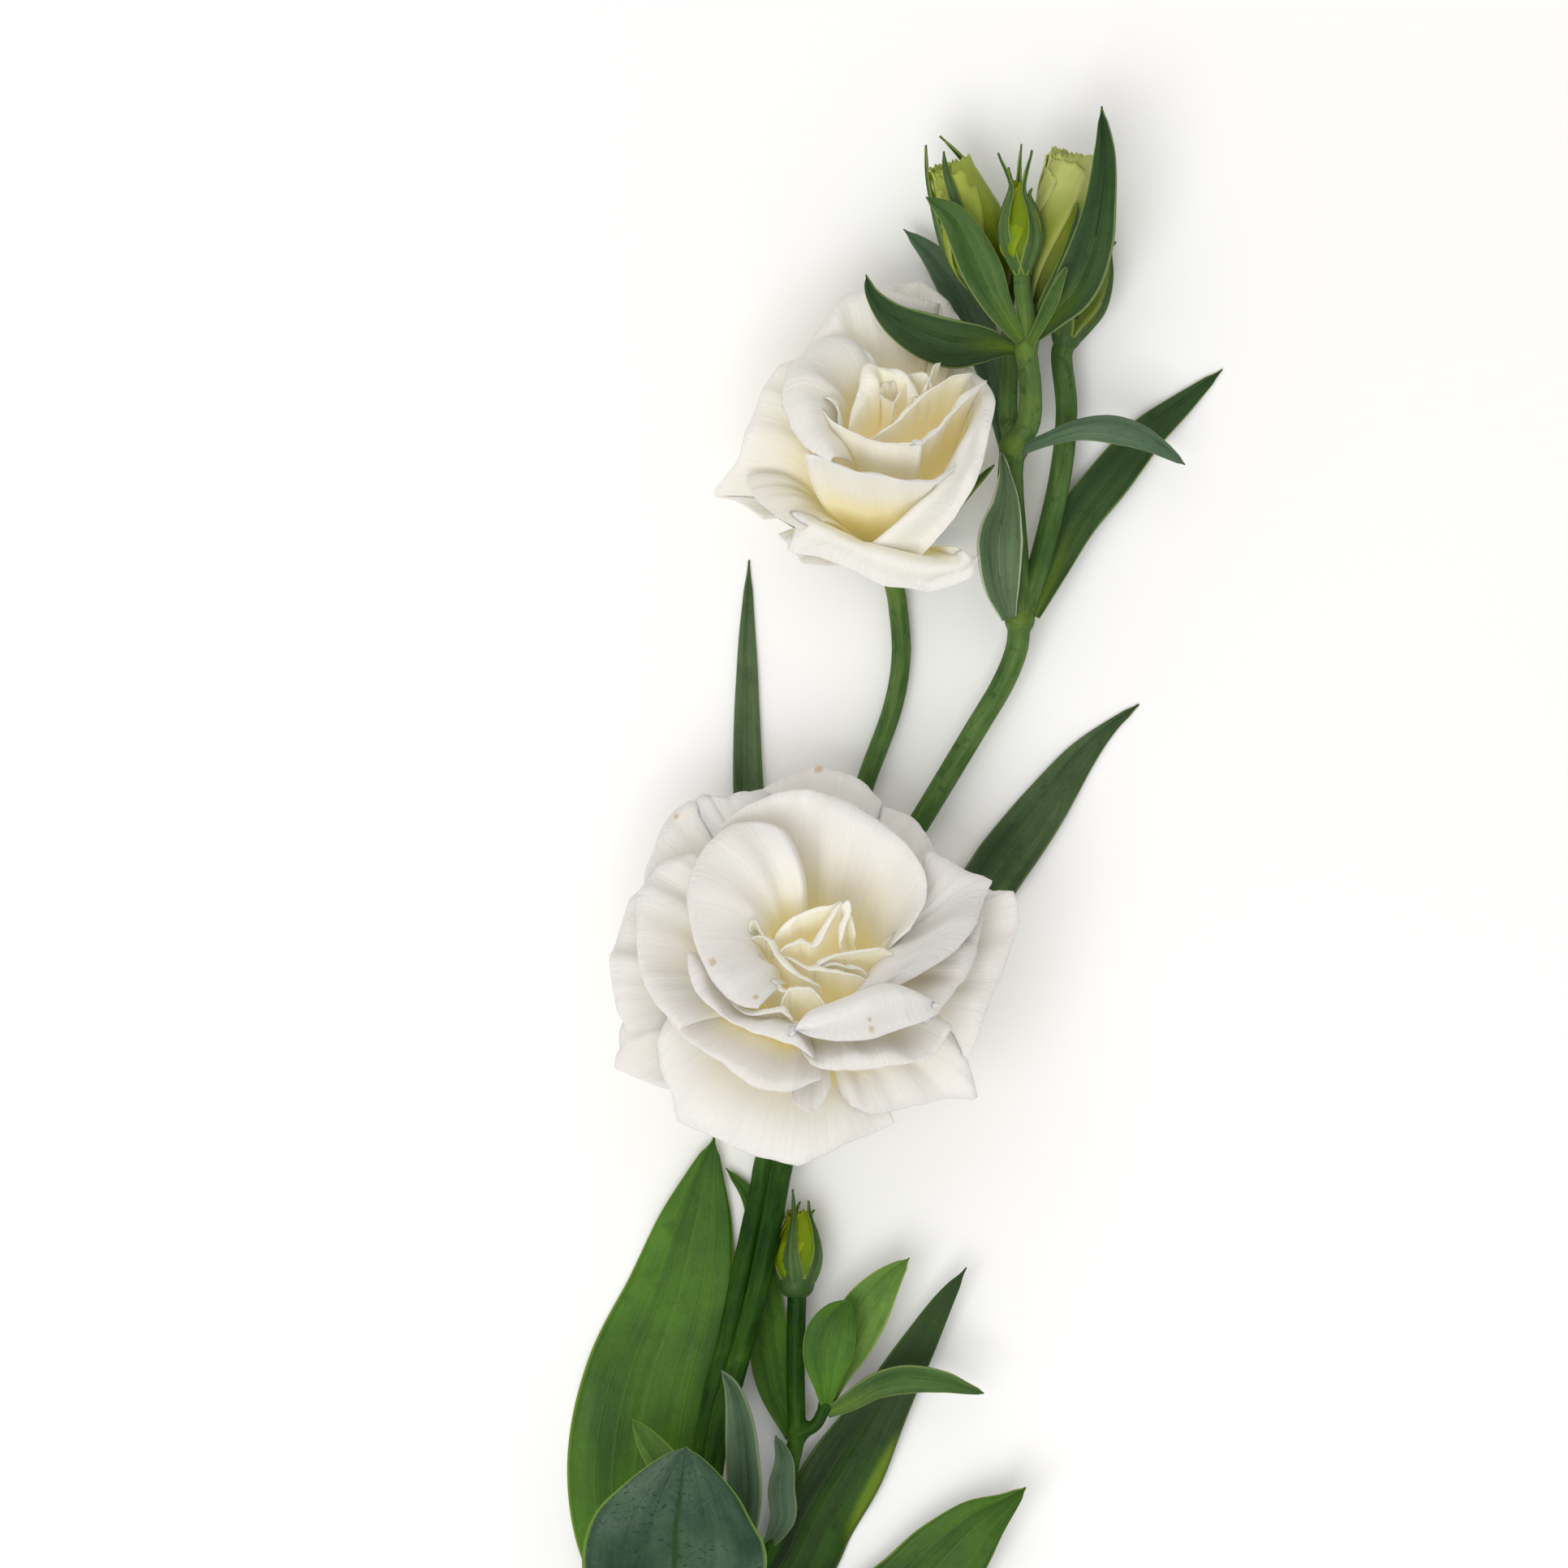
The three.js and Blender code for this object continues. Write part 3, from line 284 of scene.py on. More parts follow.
# %% Materials
class Finish(Tree):
    """One material, its nodes and the surface shader that they feed."""

    def __init__(self, name, **constants):
        self.material = bpy.data.materials.new(name)
        self.material.use_nodes = True
        super().__init__(self.material.node_tree)
        self.shader = self.tree.nodes["Principled BSDF"]
        for socket, value in constants.items():
            self.shader.inputs[socket.replace("_", " ")].default_value = value

    def feed(self, name, value):
        """Joins a varying value to the surface shader."""
        self.set(self.shader.inputs[name], value)

    def attributes(self, *names):
        """The numbers that a piece keeps for its points, by name."""
        return [self.node("ShaderNodeAttribute", {"attribute_name": name}, output="Fac") for name in names]

    def point(self):
        """The point's own coordinates, in metres."""
        return self.node("ShaderNodeTexCoord", output="Object")

    def reach(self, point, place, radius=1.0):
        """How far a point lies from a place in the tables, seen from above, in radii of some millimetres."""
        x, y, _ = self.parts(point)
        right, ahead, _ = to_frame([*place, 0]).tolist()
        return ((x - right) ** 2 + (y - ahead) ** 2) ** 0.5 / (radius * MM)

    def ramp(self, value, *stops):
        """A colour that changes with value through stops of (place, colour)."""
        return self.node("ShaderNodeValToRGB", {"stops": stops}, {0: value})

    def mix(self, share, a, b, how="MIX"):
        """Two colours in shares. The Mix node's sockets share their names, so these go by number."""
        settings = {"data_type": "RGBA", "blend_type": how, "clamp_factor": True}
        return self.node("ShaderNodeMix", settings, {0: share, 6: a, 7: b}, output=2)

    def darken(self, colour, shade):
        """A colour times a number."""
        return self.mix(1.0, colour, self.vector(shade, shade, shade), "MULTIPLY")

    def bump(self, height, depth_mm, strength=1.0):
        """Tilts the surface's light by a height field that is depth_mm deep."""
        sockets = {"Strength": strength, "Distance": depth_mm * MM, "Height": height}
        self.feed("Normal", self.node("ShaderNodeBump", sockets=sockets))


print("materials so far:", len(bpy.data.materials))

# %% Geometry recipes
class Recipe(Tree):
    """A Geometry Nodes tree with named inputs."""

    def __init__(self, name):
        super().__init__(bpy.data.node_groups.new(name, "GeometryNodeTree"))
        self.inlet = self.tree.nodes.new("NodeGroupInput")
        self.tree.interface.new_socket("Geometry", in_out="OUTPUT", socket_type="NodeSocketGeometry")

    def inputs(self, **kinds):
        """Adds named inputs of the given kinds, in their order."""
        for name, kind in kinds.items():
            self.tree.interface.new_socket(name, in_out="INPUT", socket_type="NodeSocket" + kind)
        return [Field(self, self.inlet.outputs[name]) for name in kinds]

    def path_along(self, curve):
        """The curve that an input names, where its points were put."""
        return self.node("GeometryNodeObjectInfo", {"transform_space": "ORIGINAL"}, {"Object": curve},
                         "Geometry")

    def finish(self, geometry, material):
        """Ends the tree: smooth shading, real geometry, its material."""
        smooth = self.node("GeometryNodeSetShadeSmooth", sockets={"Geometry": geometry})
        real = self.node("GeometryNodeRealizeInstances", sockets={"Geometry": smooth})
        dressed = self.node("GeometryNodeSetMaterial", sockets={"Geometry": real, "Material": material})
        outlet = self.tree.nodes.new("NodeGroupOutput")
        self.tree.links.new(dressed.socket, outlet.inputs["Geometry"])

    def grow(self, name, thickness=0, **inputs):
        """Runs the tree on a new object and keeps the mesh that comes out."""
        seed = placed(name + "_seed", bpy.data.meshes.new(name + "_seed"))
        modifier = seed.modifiers.new("recipe", "NODES")
        modifier.node_group = self.tree
        for item in self.tree.interface.items_tree:
            if item.in_out == "INPUT":
                modifier[item.identifier] = inputs[item.name.lower()]
        if thickness:
            wall = seed.modifiers.new("wall", "SOLIDIFY")
            wall.thickness, wall.offset = thickness * MM, 0
        return baked(seed, name)


print("geometry recipes so far:", len(bpy.data.node_groups))

# %% [markdown]
# Petals
# A petal is a thin sheet that grows from a narrow root, bellies out, and ends in a rim that rolls over.
# Sculpting nearly fifty of them by hand would take days. Instead each is described by what the eye sees, the
# line of its rim, and by the angles at which it leaves the root and reaches that rim. Cubic curves fill
# the sheet in between, a small arc rolls the rim, and seeded waves keep any two petals from being alike.

# %% One thin sheet, and a pile of them
class Sheets:
    """Gathers thin closed sheets into one mesh with the attributes that its materials read."""

    def __init__(self):
        self.points, self.faces, self.count = [], [], 0
        self.values = {"along": [], "across": [], "tone": [], "cream": []}

    def add(self, grid, thickness, along, across, tone, cream=0.0):
        """A sheet over a grid of rows of points. The other values are single numbers, or arrays that
        spread over the grid."""
        rows, columns = grid.shape[:2]
        down, side = np.gradient(grid, axis=0), np.gradient(grid, axis=1)
        normal = unit(np.cross(side, down))
        half = normal * np.broadcast_to(thickness, (rows, columns))[..., None] / 2
        self.points += [(grid + half).reshape(-1, 3), (grid - half).reshape(-1, 3)]
        index = np.arange(rows * columns).reshape(rows, columns)
        a, b, c, d = index[:-1, :-1], index[:-1, 1:], index[1:, 1:], index[1:, :-1]
        below = rows * columns
        quads = [np.stack([a, b, c, d], -1), np.stack([a, d, c, b], -1) + below]
        rims = (index[:, 0], False), (index[:, -1], True), (index[0], True), (index[-1], False)
        for line, flip in rims:
            edge = [line[:-1], line[1:], line[1:] + below, line[:-1] + below]
            quads.append(np.stack(edge[::-1] if flip else edge, -1))
        self.faces += [q.reshape(-1, 4) + self.count for q in quads]
        self.count += 2 * below
        for name, value in (("along", along), ("across", across), ("tone", tone), ("cream", cream)):
            both = np.broadcast_to(value, (rows, columns)).reshape(-1)
            self.values[name] += [both, both]

    def build(self, name, material):
        values = {key: np.concatenate(parts) for key, parts in self.values.items()}
        return mesh_piece(name, np.vstack(self.points), np.vstack(self.faces).tolist(), material, **values)


print("a sheet's points keep", ", ".join(Sheets().values))

# %% [markdown]
# The two open blooms
# Each bloom has an axis that leans back from straight up, and a base where its calyx ends. A rim point is
# given as it is seen from above, with its height along that axis. Outer petals lie open and their rims
# curl under; middle ones stand steeper; the cupped ones at the back close in; folded ones go up to a
# ridge and fall back from it; and the small inner ones crowd round the heart.
#
# In the tables, belly and flare are the angles from the axis at which a petal leaves its root and reaches
# its rim, and lip is how long the second one holds. Roll and turn are the radius and the angle of the
# rolled rim, and vary is how much they change along it. Ruffle, swell and pleat are waves in millimetres.
# Crisp is how straight the rim runs between its places, wide and low shape the root, sides bends the two
# edges, cream is how yellow the petal is, and shade is how much of the cup's painted shade its colour
# takes. A ridge is given as it is seen from above too, and rise is how far it stands over the rim.

# %% Axes, and where the blooms stand
class Axis:
    """A base, a direction, and two more directions that are square to it."""

    def __init__(self, base, axis, right):
        self.base, self.axis, self.right = np.array(base, float), axis, right
        self.ahead = np.cross(axis, right)

    def away(self, turn):
        """The direction at some degrees round the axis."""
        turn = np.radians(turn)
        return np.multiply.outer(np.cos(turn), self.right) + np.multiply.outer(np.sin(turn), self.ahead)

    def spoke(self, turn, radius, height):
        """A place at an angle round the axis, a radius from it and a height along it."""
        return (self.base + np.multiply.outer(height, self.axis)
                + np.asarray(radius)[..., None] * self.away(turn))


class Bloom(Axis):
    """An axis that leans back from straight up, with what its petals are measured by."""

    def __init__(self, base, lean):
        tilt = math.radians(lean)
        super().__init__(base, np.array([0, math.sin(tilt), math.cos(tilt)]), np.array([1.0, 0, 0]))

    def rim_points(self, rim):
        """Places seen from above, lifted to their height along the axis."""
        p = np.asarray(rim, float)
        x, y = p[:, 0] - self.base[0], p[:, 1] - self.base[1]
        z = self.base[2] + (p[:, 2] - x * self.axis[0] - y * self.axis[1]) / self.axis[2]
        return np.column_stack([p[:, 0], p[:, 1], z])

    def outward(self, points):
        """The part of each place that is square to the axis."""
        reach = points - self.base
        return reach - (reach @ self.axis)[..., None] * self.axis

    def heading(self, out, angle):
        """The direction at an angle from the axis towards out."""
        turn = np.radians(angle)
        return np.cos(turn)[..., None] * self.axis + np.sin(turn)[..., None] * out


BLOOMS = {"lower_bloom": Bloom((4.6, -42, 13), lean=35), "upper_bloom": Bloom((18.6, 40, 6.8), lean=50)}
for name, bloom in BLOOMS.items():
    print(name, "points along", bloom.axis.round(3))

# %% Kinds of petal
OUTER = dict(belly=60, flare=78, lip=0.4, roll=2.2, turn=42, ruffle=0.35)
REFLEXED = dict(belly=58, flare=122, lip=0.34, roll=2.4, turn=40, ruffle=0.35)
MIDDLE = dict(belly=50, flare=72, lip=0.4, roll=2.0, turn=62, ruffle=0.35)
CUPPED = dict(belly=52, flare=34, lip=0.42, roll=2.2, turn=60, ruffle=0.25)
FOLDED = dict(belly=30, flare=112, lip=0.42, roll=1.6, turn=30, ruffle=0.25)
INNER = dict(belly=30, flare=40, lip=0.4, roll=0.9, turn=60, ruffle=0.1, swell=0.15, pleat=0.03, crisp=0.2,
             wide=2.6, low=9, cream=1.0)
DOMED = dict(INNER, belly=74, flare=-10, lip=0.42, roll=1.35, turn=95, vary=0.35)
print("an outer petal's rim rolls by", OUTER["turn"], "degrees, a domed one's by", DOMED["turn"])

# %% Rims of the lower bloom
LOWER_PETALS = {
    "back_outer": dict(OUTER, rim=[(-9, -5, 25), (-6.4, -1.9, 27), (0, 0.9, 28), (6, 3.1, 28),
        (12.2, 0.9, 28), (16.9, -3.2, 27), (19, -8, 25)]),
    "back_left_outer": dict(OUTER, rim=[(-16, -7, 25), (-14.3, -1.9, 27), (-11.6, -2.2, 27.5),
        (-8.5, -1.7, 28), (-4, -1.4, 28), (0, -2.5, 26)]),
    "upper_left_outer": dict(OUTER, rim=[(-12, -3.5, 25), (-15, -2.4, 26), (-18.9, -4.5, 26.5),
        (-21.4, -8.6, 26.5), (-23.8, -15.7, 26), (-23.6, -22, 24)]),
    "left_outer": dict(OUTER, rim=[(-23, -17, 22), (-26.6, -19.8, 22), (-28.7, -26.5, 22),
        (-29.8, -30.5, 22), (-29.4, -35, 21), (-28.4, -39.5, 19), (-26.5, -43, 17)]),
    "low_left_outer": dict(OUTER, flare=96, crisp=0.85, rim=[(-26, -37, 16), (-27.9, -42.1, 15),
        (-28.2, -45.4, 14), (-29.3, -48.8, 12.5), (-24, -50.9, 12), (-18.9, -52.7, 11),
        (-14, -52, 10.5)]),
    "bottom_outer": dict(REFLEXED, crisp=0.75, rim=[(-20, -40, 20), (-22, -44.4, 18.4),
        (-21.4, -48.6, 16), (-19.3, -53, 13), (-18.3, -57.8, 10), (-11, -60.8, 9), (-4.9, -63.6, 9),
        (2.5, -65.5, 8.5), (10.7, -61.8, 9.5), (16.4, -59.4, 9.5), (19, -58.1, 10)]),
    "low_right_outer": dict(REFLEXED, crisp=0.85, pleat=0.16, rim=[(30, -44, 19), (31.6, -48, 18),
        (32.9, -53.8, 15.5), (28.3, -53.8, 14), (23.6, -54.8, 13.5), (19, -56, 13), (15.2, -56.9, 13),
        (12, -55.2, 13.5), (9.6, -52.8, 14)]),
    "right_outer": dict(OUTER, crisp=0.7, rim=[(31, -16, 23), (36, -18.6, 24.5), (39.4, -18.4, 25),
        (40.6, -23.4, 24.5), (37.1, -32.8, 23), (34.5, -39.5, 22), (31.7, -47, 20)]),
    "upper_right_outer": dict(OUTER, rim=[(13, -3, 26), (21.8, -5.8, 27), (24.6, -8.7, 27.5),
        (26.4, -12.4, 27), (29, -18, 25)]),
    "left_middle": dict(MIDDLE, rim=[(-15.5, -12, 30), (-20.7, -13.6, 29.5), (-25.1, -18.8, 28.5),
        (-25.6, -24, 28), (-24.6, -32.2, 27), (-22.2, -37.4, 26.5), (-17.8, -42.1, 27)]),
    "low_left_middle": dict(MIDDLE, flare=74, rim=[(-23.4, -34, 24.5), (-18.6, -42, 24),
        (-11.6, -47.3, 24.5), (-5.4, -51.5, 24.5), (0.8, -52.8, 24.5), (6.5, -50.3, 25)]),
    "tongue": dict(MIDDLE, flare=92, roll=1.2, turn=30, swell=0.1, pleat=0.0, vary=0.2,
        rim=[(0.9, -51.6, 22), (1.6, -54.6, 21), (4.4, -56.3, 20), (6.4, -55, 21), (8, -51.8, 22)]),
    "right_middle": dict(MIDDLE, rim=[(32.6, -17, 27), (34, -22, 28), (33.4, -27, 28),
        (31.9, -32.2, 28), (28.5, -36.4, 28), (24.5, -41, 28)]),
    "front_wrap": dict(MIDDLE, flare=70, belly=46, ruffle=0.2, pleat=0.18, rim=[(3, -45, 29.5),
        (5, -48.2, 29), (9, -49.1, 29), (14.5, -48.6, 29.5), (21.5, -47.8, 29.5), (25.8, -46.2, 29),
        (28.8, -41.5, 29)]),
    "front_left_rim": dict(MIDDLE, belly=40, flare=48, rim=[(-16.6, -29, 33), (-16, -33.5, 33),
        (-13.5, -37.4, 33), (-10.1, -39.9, 33), (-6.4, -41.9, 33), (-2.3, -43.4, 33), (1.9, -44.9, 33),
        (4.9, -46.8, 32)]),
    "back_cup": dict(CUPPED, shade=0.6, rim=[(-11, -7.5, 33.5), (-6.5, -3.8, 34.5), (-1, -1.3, 35),
        (5, -0.9, 35), (10.6, -2.8, 35), (16, -6, 35), (20.8, -10, 35), (24, -14.8, 35),
        (24.3, -20, 34.5), (21.5, -25, 34)]),
    "left_inner": dict(CUPPED, belly=32, flare=80, lip=0.44, sides=(1.6, 0), roll=2.6, turn=50,
        pleat=0.07, swell=0.25, rim=[(1.2, -10.6, 32.5), (-0.4, -8, 34.2), (-3.8, -6.7, 35.2),
        (-9, -7.2, 36), (-13.2, -10.5, 36), (-15.9, -15, 36), (-16.6, -20, 36), (-15.4, -27, 35.5),
        (-12.8, -33, 35), (-9.8, -36.6, 34.2), (-6.8, -38, 33.4), (-4.4, -38.4, 32.6)]),
    "right_flared": dict(FOLDED, rise=3.2, crisp=0.8, ridge=[(24.1, -19.8), (21.5, -24.5), (19, -29.1),
        (16.4, -33.3), (14.3, -35.9)], rim=[(24.8, -11.6, 32), (30.4, -14.8, 31.5), (35.6, -16.7, 30),
        (34.6, -19.8, 30.5), (32.9, -24, 31), (29.8, -28.1, 32), (26.7, -30.4, 33), (22.6, -32.9, 34),
        (17.9, -35.4, 34.5)]),
    "front_rolled": dict(FOLDED, rise=2.2, ridge=[(0.8, -42.2), (5, -41), (9.1, -39.7), (13.8, -38),
        (17.9, -36.5), (21, -36), (24.2, -36.7), (26.8, -38)], rim=[(1, -41.4, 34), (4.6, -43.2, 34),
        (8.6, -44, 34), (13.8, -43.8, 34), (19, -42.2, 34), (23.4, -40.7, 34), (26.2, -39.4, 34),
        (27.2, -38, 34.2)]),
    "heart_back": dict(INNER, flare=10, rim=[(-2.4, -29, 27.5), (-1.2, -25.4, 29.5), (1, -23.2, 31),
        (3.2, -22.1, 31.6), (6, -21, 32), (8.2, -20.8, 32.2), (10, -20.2, 32.4), (11.6, -22.6, 31),
        (12.4, -26, 29)]),
    "heart_curl": dict(DOMED, flare=-4, crisp=0.4, rim=[(-1.6, -29.6, 29.5), (0, -28.1, 30.6),
        (1.6, -27.5, 31), (3.2, -27.2, 31.2), (5, -28.1, 31), (6.4, -27.2, 31.4), (7.4, -25, 32.2),
        (8.6, -22.6, 33), (9.8, -20.6, 33.6), (11.2, -19.9, 34), (11.6, -21.9, 33), (10.6, -24.4, 32),
        (9.8, -27, 31)]),
    "heart_spike": dict(INNER, flare=5, wide=1, rim=[(-6.4, -26.8, 30), (-6, -24.6, 31.4),
        (-5.5, -23.1, 32.4), (-4.4, -24.8, 31.6), (-3.4, -26.8, 30.6)]),
    "heart_left": dict(DOMED, flare=-5, rim=[(-6.8, -27.6, 30), (-5.4, -26.2, 31), (-3.5, -26.4, 31.4),
        (-2.4, -27.8, 31.4), (-1.4, -29.6, 31.2), (0.4, -31.6, 31), (2.4, -33, 30.8),
        (4.6, -34.2, 30.6), (6.2, -34.8, 30)]),
    "heart_left_low": dict(DOMED, flare=-8, rim=[(-6.4, -29, 29.8), (-4.8, -29.6, 30.8),
        (-3.8, -31.8, 31.2), (-2.6, -34, 31.2), (-0.6, -35.5, 31), (2, -35.6, 30.8)]),
    "heart_front": dict(DOMED, flare=-5, crisp=0.4, rim=[(-0.8, -29.4, 29), (2, -30.6, 30),
        (4, -31.8, 30.4), (6.4, -32.1, 30.8), (9, -32.4, 31), (12, -32.9, 31), (14, -33.6, 30.6),
        (15.4, -35, 30)]),
    "heart_right": dict(DOMED, flare=2, roll=1.1, rim=[(5, -32, 29.5), (7, -30.4, 30.4),
        (9.4, -29.4, 31), (12, -29, 31.4), (15, -28.6, 31.8), (17.2, -28.4, 32), (18.9, -29.3, 31.8),
        (18.4, -31.4, 31)]),
    "heart_right_low": dict(DOMED, flare=4, rim=[(6, -31.8, 29), (8.4, -31, 30), (11, -31.6, 30.4),
        (13.6, -32, 30.4), (15.4, -33.4, 30)]),
    "heart_lobe": dict(DOMED, belly=80, flare=-15, rim=[(-0.6, -38.4, 31), (-0.3, -36.8, 32.2),
        (0.8, -35.5, 33), (2.4, -35.2, 33.2), (4.4, -35.2, 33.2), (6, -36.4, 32.6), (7.4, -38.6, 31.4)]),
    "heart_shell": dict(DOMED, belly=70, flare=10, rim=[(-10, -35.4, 29.6), (-8.8, -38, 30.6),
        (-6, -39.6, 31.6), (-3, -39.4, 32.2), (-0.6, -39, 32.4), (1.4, -40.4, 31.8)]),
}
print("petals below:", len(LOWER_PETALS))

# %% Rims of the upper bloom
UPPER_PETALS = {
    "back_outer": dict(OUTER, belly=50, flare=60, swell=0.2, rim=[(10, 81, 34), (15.5, 84.8, 36.5),
        (19.5, 86, 37.5), (24, 86.2, 37.5), (28, 83.5, 37), (31.5, 78, 35)]),
    "back_left": dict(CUPPED, belly=34, flare=44, roll=2.4, turn=85, swell=0.15, pleat=0.02, vary=0.3,
        rim=[(27, 82.5, 37.8), (21, 84.2, 39.6), (16, 85, 40.4), (12.8, 85, 40.4), (9.4, 83.4, 39.4),
        (7, 79.7, 38.4), (4.3, 75.7, 36.6), (2.4, 71, 34.6)]),
    "left_outer": dict(OUTER, belly=58, shade=0.1, rim=[(2.6, 73.4, 35), (-0.6, 72.1, 34.5),
        (-2.8, 69, 33), (-4.6, 65.2, 31.5), (-6.4, 60.5, 29), (-8.4, 55, 25), (-12.1, 49.9, 20),
        (-8.2, 48.6, 18), (-3.3, 45.3, 16)]),
    "left_second": dict(MIDDLE, shade=0.1, belly=60, flare=88, turn=20, ruffle=0.1, swell=0.25,
        rim=[(-6.4, 53, 24), (-6.2, 51, 23), (-4.4, 48.4, 21.2), (-1, 45.8, 19), (3, 43.6, 18)]),
    "bottom_small": dict(OUTER, flare=96, rim=[(-1, 43, 12), (1.6, 40, 11), (3.9, 37.7, 10),
        (8, 37.6, 10), (13, 38, 11)]),
    "bottom_outer": dict(REFLEXED, shade=0.1, turn=30, rise=2.6, crisp=0.7, ridge=[(1, 46.2), (7, 43.4),
        (12, 40.8), (16.8, 39), (23.5, 37), (28.9, 37.2), (31.1, 38.6), (32.6, 38.9)],
        rim=[(2.2, 45, 17), (0.4, 40.1, 14), (6, 39, 13.5), (12, 36.6, 13), (17.3, 33.9, 12.5),
        (21.7, 33.6, 12.5), (24.6, 32.9, 12), (29, 34, 13.5), (32.4, 35.6, 15.5), (33.2, 38.8, 17.5)]),
    "right_outer": dict(MIDDLE, shade=0.4, belly=44, flare=96, turn=30, rise=2.4, ridge=[(27.5, 72),
        (31, 69.5), (33.4, 66.6), (33.4, 63.4), (31.2, 59), (29.8, 55.4), (27.2, 51), (23.4, 47.2),
        (18, 42.6), (14, 39.4)], rim=[(28, 73.6, 29), (31.6, 71.6, 30.5), (34.4, 69, 32.5),
        (36.2, 65.4, 34), (35.4, 61, 33.5), (34.2, 55.5, 31), (32.4, 50.6, 28), (29.2, 45.6, 23.5),
        (25, 40.6, 17.5), (20.5, 36.2, 11.5)]),
    "left_rolled": dict(MIDDLE, belly=48, flare=56, roll=3.4, turn=105, swell=0.3, vary=0.5,
        rim=[(14.4, 69, 29), (13.2, 73.4, 33.4), (10.4, 76.2, 36.2), (6.4, 76, 37), (2.3, 73, 37),
        (0.2, 69.5, 37), (-0.5, 65.5, 36.5), (0.8, 61.6, 36), (3.7, 57.8, 35.5), (8, 55.2, 35)]),
    "front_rim": dict(MIDDLE, shade=0.1, sides=(6, 0), belly=40, flare=34, roll=1.5, ruffle=0.1,
        swell=0.15, pleat=0.03, rim=[(7.6, 56.4, 34.5), (9.4, 54.4, 34.5), (13, 53.2, 34.5),
        (18, 52.2, 34.5), (22.5, 51.5, 34), (26.2, 51.4, 33.5), (29.6, 54.4, 33)]),
    "front_wrap": dict(MIDDLE, shade=0.5, belly=32, flare=14, roll=0.8, turn=40, ruffle=0.15,
        swell=0.15, pleat=0.03, cream=0.7, rim=[(5.6, 66, 37), (7.4, 62.8, 37.5), (11, 60.6, 37.5),
        (14.6, 58.9, 37.5), (18, 58.3, 37.5), (21, 58.2, 37.5), (23.6, 58.2, 37.3)]),
    "right_wrap": dict(MIDDLE, belly=36, flare=26, roll=1.5, swell=0.2, ruffle=0.25, cream=0.7,
        rim=[(21.6, 58, 37), (23.8, 58.2, 37.5), (26, 60.2, 37.5), (28.6, 63.2, 38), (31.2, 65.8, 38),
        (33.4, 67.6, 37.8), (34.9, 69.3, 37)]),
    "right_inner": dict(INNER, belly=32, flare=20, roll=1.3, rim=[(14.4, 59, 36), (16.2, 59.8, 36.5),
        (19.4, 62, 37.5), (22.6, 65, 38), (26, 68.2, 38), (29, 69.9, 38), (32.4, 70.4, 37)]),
    "right_second": dict(INNER, flare=14, roll=0.7, rim=[(20, 69.8, 36.6), (22.2, 70.5, 37.2),
        (24, 70.6, 37.4), (25, 69.7, 37.2), (25.4, 67.6, 36.6)]),
    "right_sliver": dict(INNER, belly=34, flare=20, roll=0.6, rim=[(24.4, 67.4, 36.6), (25.2, 69.6, 37),
        (25.9, 71.8, 37), (26.9, 72.4, 36.4)]),
    "left_fold": dict(MIDDLE, belly=40, flare=14, roll=0.9, turn=60, ruffle=0.15, swell=0.2, pleat=0.05,
        cream=0.7, rim=[(3.4, 61.6, 36), (4.4, 64.8, 37), (6.6, 66.3, 37.6), (8.5, 65.4, 37.8),
        (9.3, 63.6, 37.4), (9.4, 61.2, 36.6)]),
    "heart_wrap": dict(INNER, flare=6, belly=20, roll=1.25, turn=135, pleat=0.08, crisp=0.3,
        rim=[(11, 60.4, 34.6), (11.5, 63.8, 36), (12.4, 66.4, 37), (12.9, 68.8, 37.8),
        (13.8, 71.4, 38.6), (16.4, 71.3, 38.6), (18.8, 71.4, 38.4), (20.9, 70.6, 38), (22.3, 68.4, 37),
        (23.3, 66.2, 36)]),
    "heart_ring": dict(INNER, flare=10, belly=20, roll=0.5, swell=0.08, pleat=0.0,
        rim=[(19, 65.6, 35.2), (17.8, 65.7, 35.6), (16.2, 66.7, 36), (16.8, 68.5, 36.6),
        (18.1, 69.3, 36.8), (19, 69, 36.4)]),
    "heart_core": dict(INNER, flare=10, belly=20, roll=0.5, turn=50, swell=0.08, pleat=0.0, crisp=0.3,
        rim=[(18.8, 65.2, 35.4), (20, 67, 36), (20.6, 68.2, 36.6), (21.6, 68.5, 36.8),
        (22.3, 67.3, 36.4), (23, 65.4, 36)]),
}
print("petals above:", len(UPPER_PETALS))

# %% From a rim to a sheet
ROOT = dict(radius=2, spread=1.3, pull=3, belly=0.42)
PETAL_ROWS, ROLL_ROWS = 26, 7
COLUMN_STEP, FEWEST_COLUMNS, MOST_COLUMNS = 0.85, 26, 64


def rolled_rim(end, bloom, out, flare, radius, turn):
    """The row where the rim begins to roll, and the rows of an arc whose furthest point is the given rim."""
    def arc(angle):
        forward = np.sin(angle)[..., None] * bloom.heading(out, flare)
        over = (1 - np.cos(angle))[..., None] * bloom.heading(out, flare + 90)
        return radius[:, None] * (forward + over)
    start = end - arc(np.minimum(turn, math.pi - np.radians(flare)))
    return start, [start + arc(turn * k / ROLL_ROWS) for k in range(1, ROLL_ROWS + 1)]


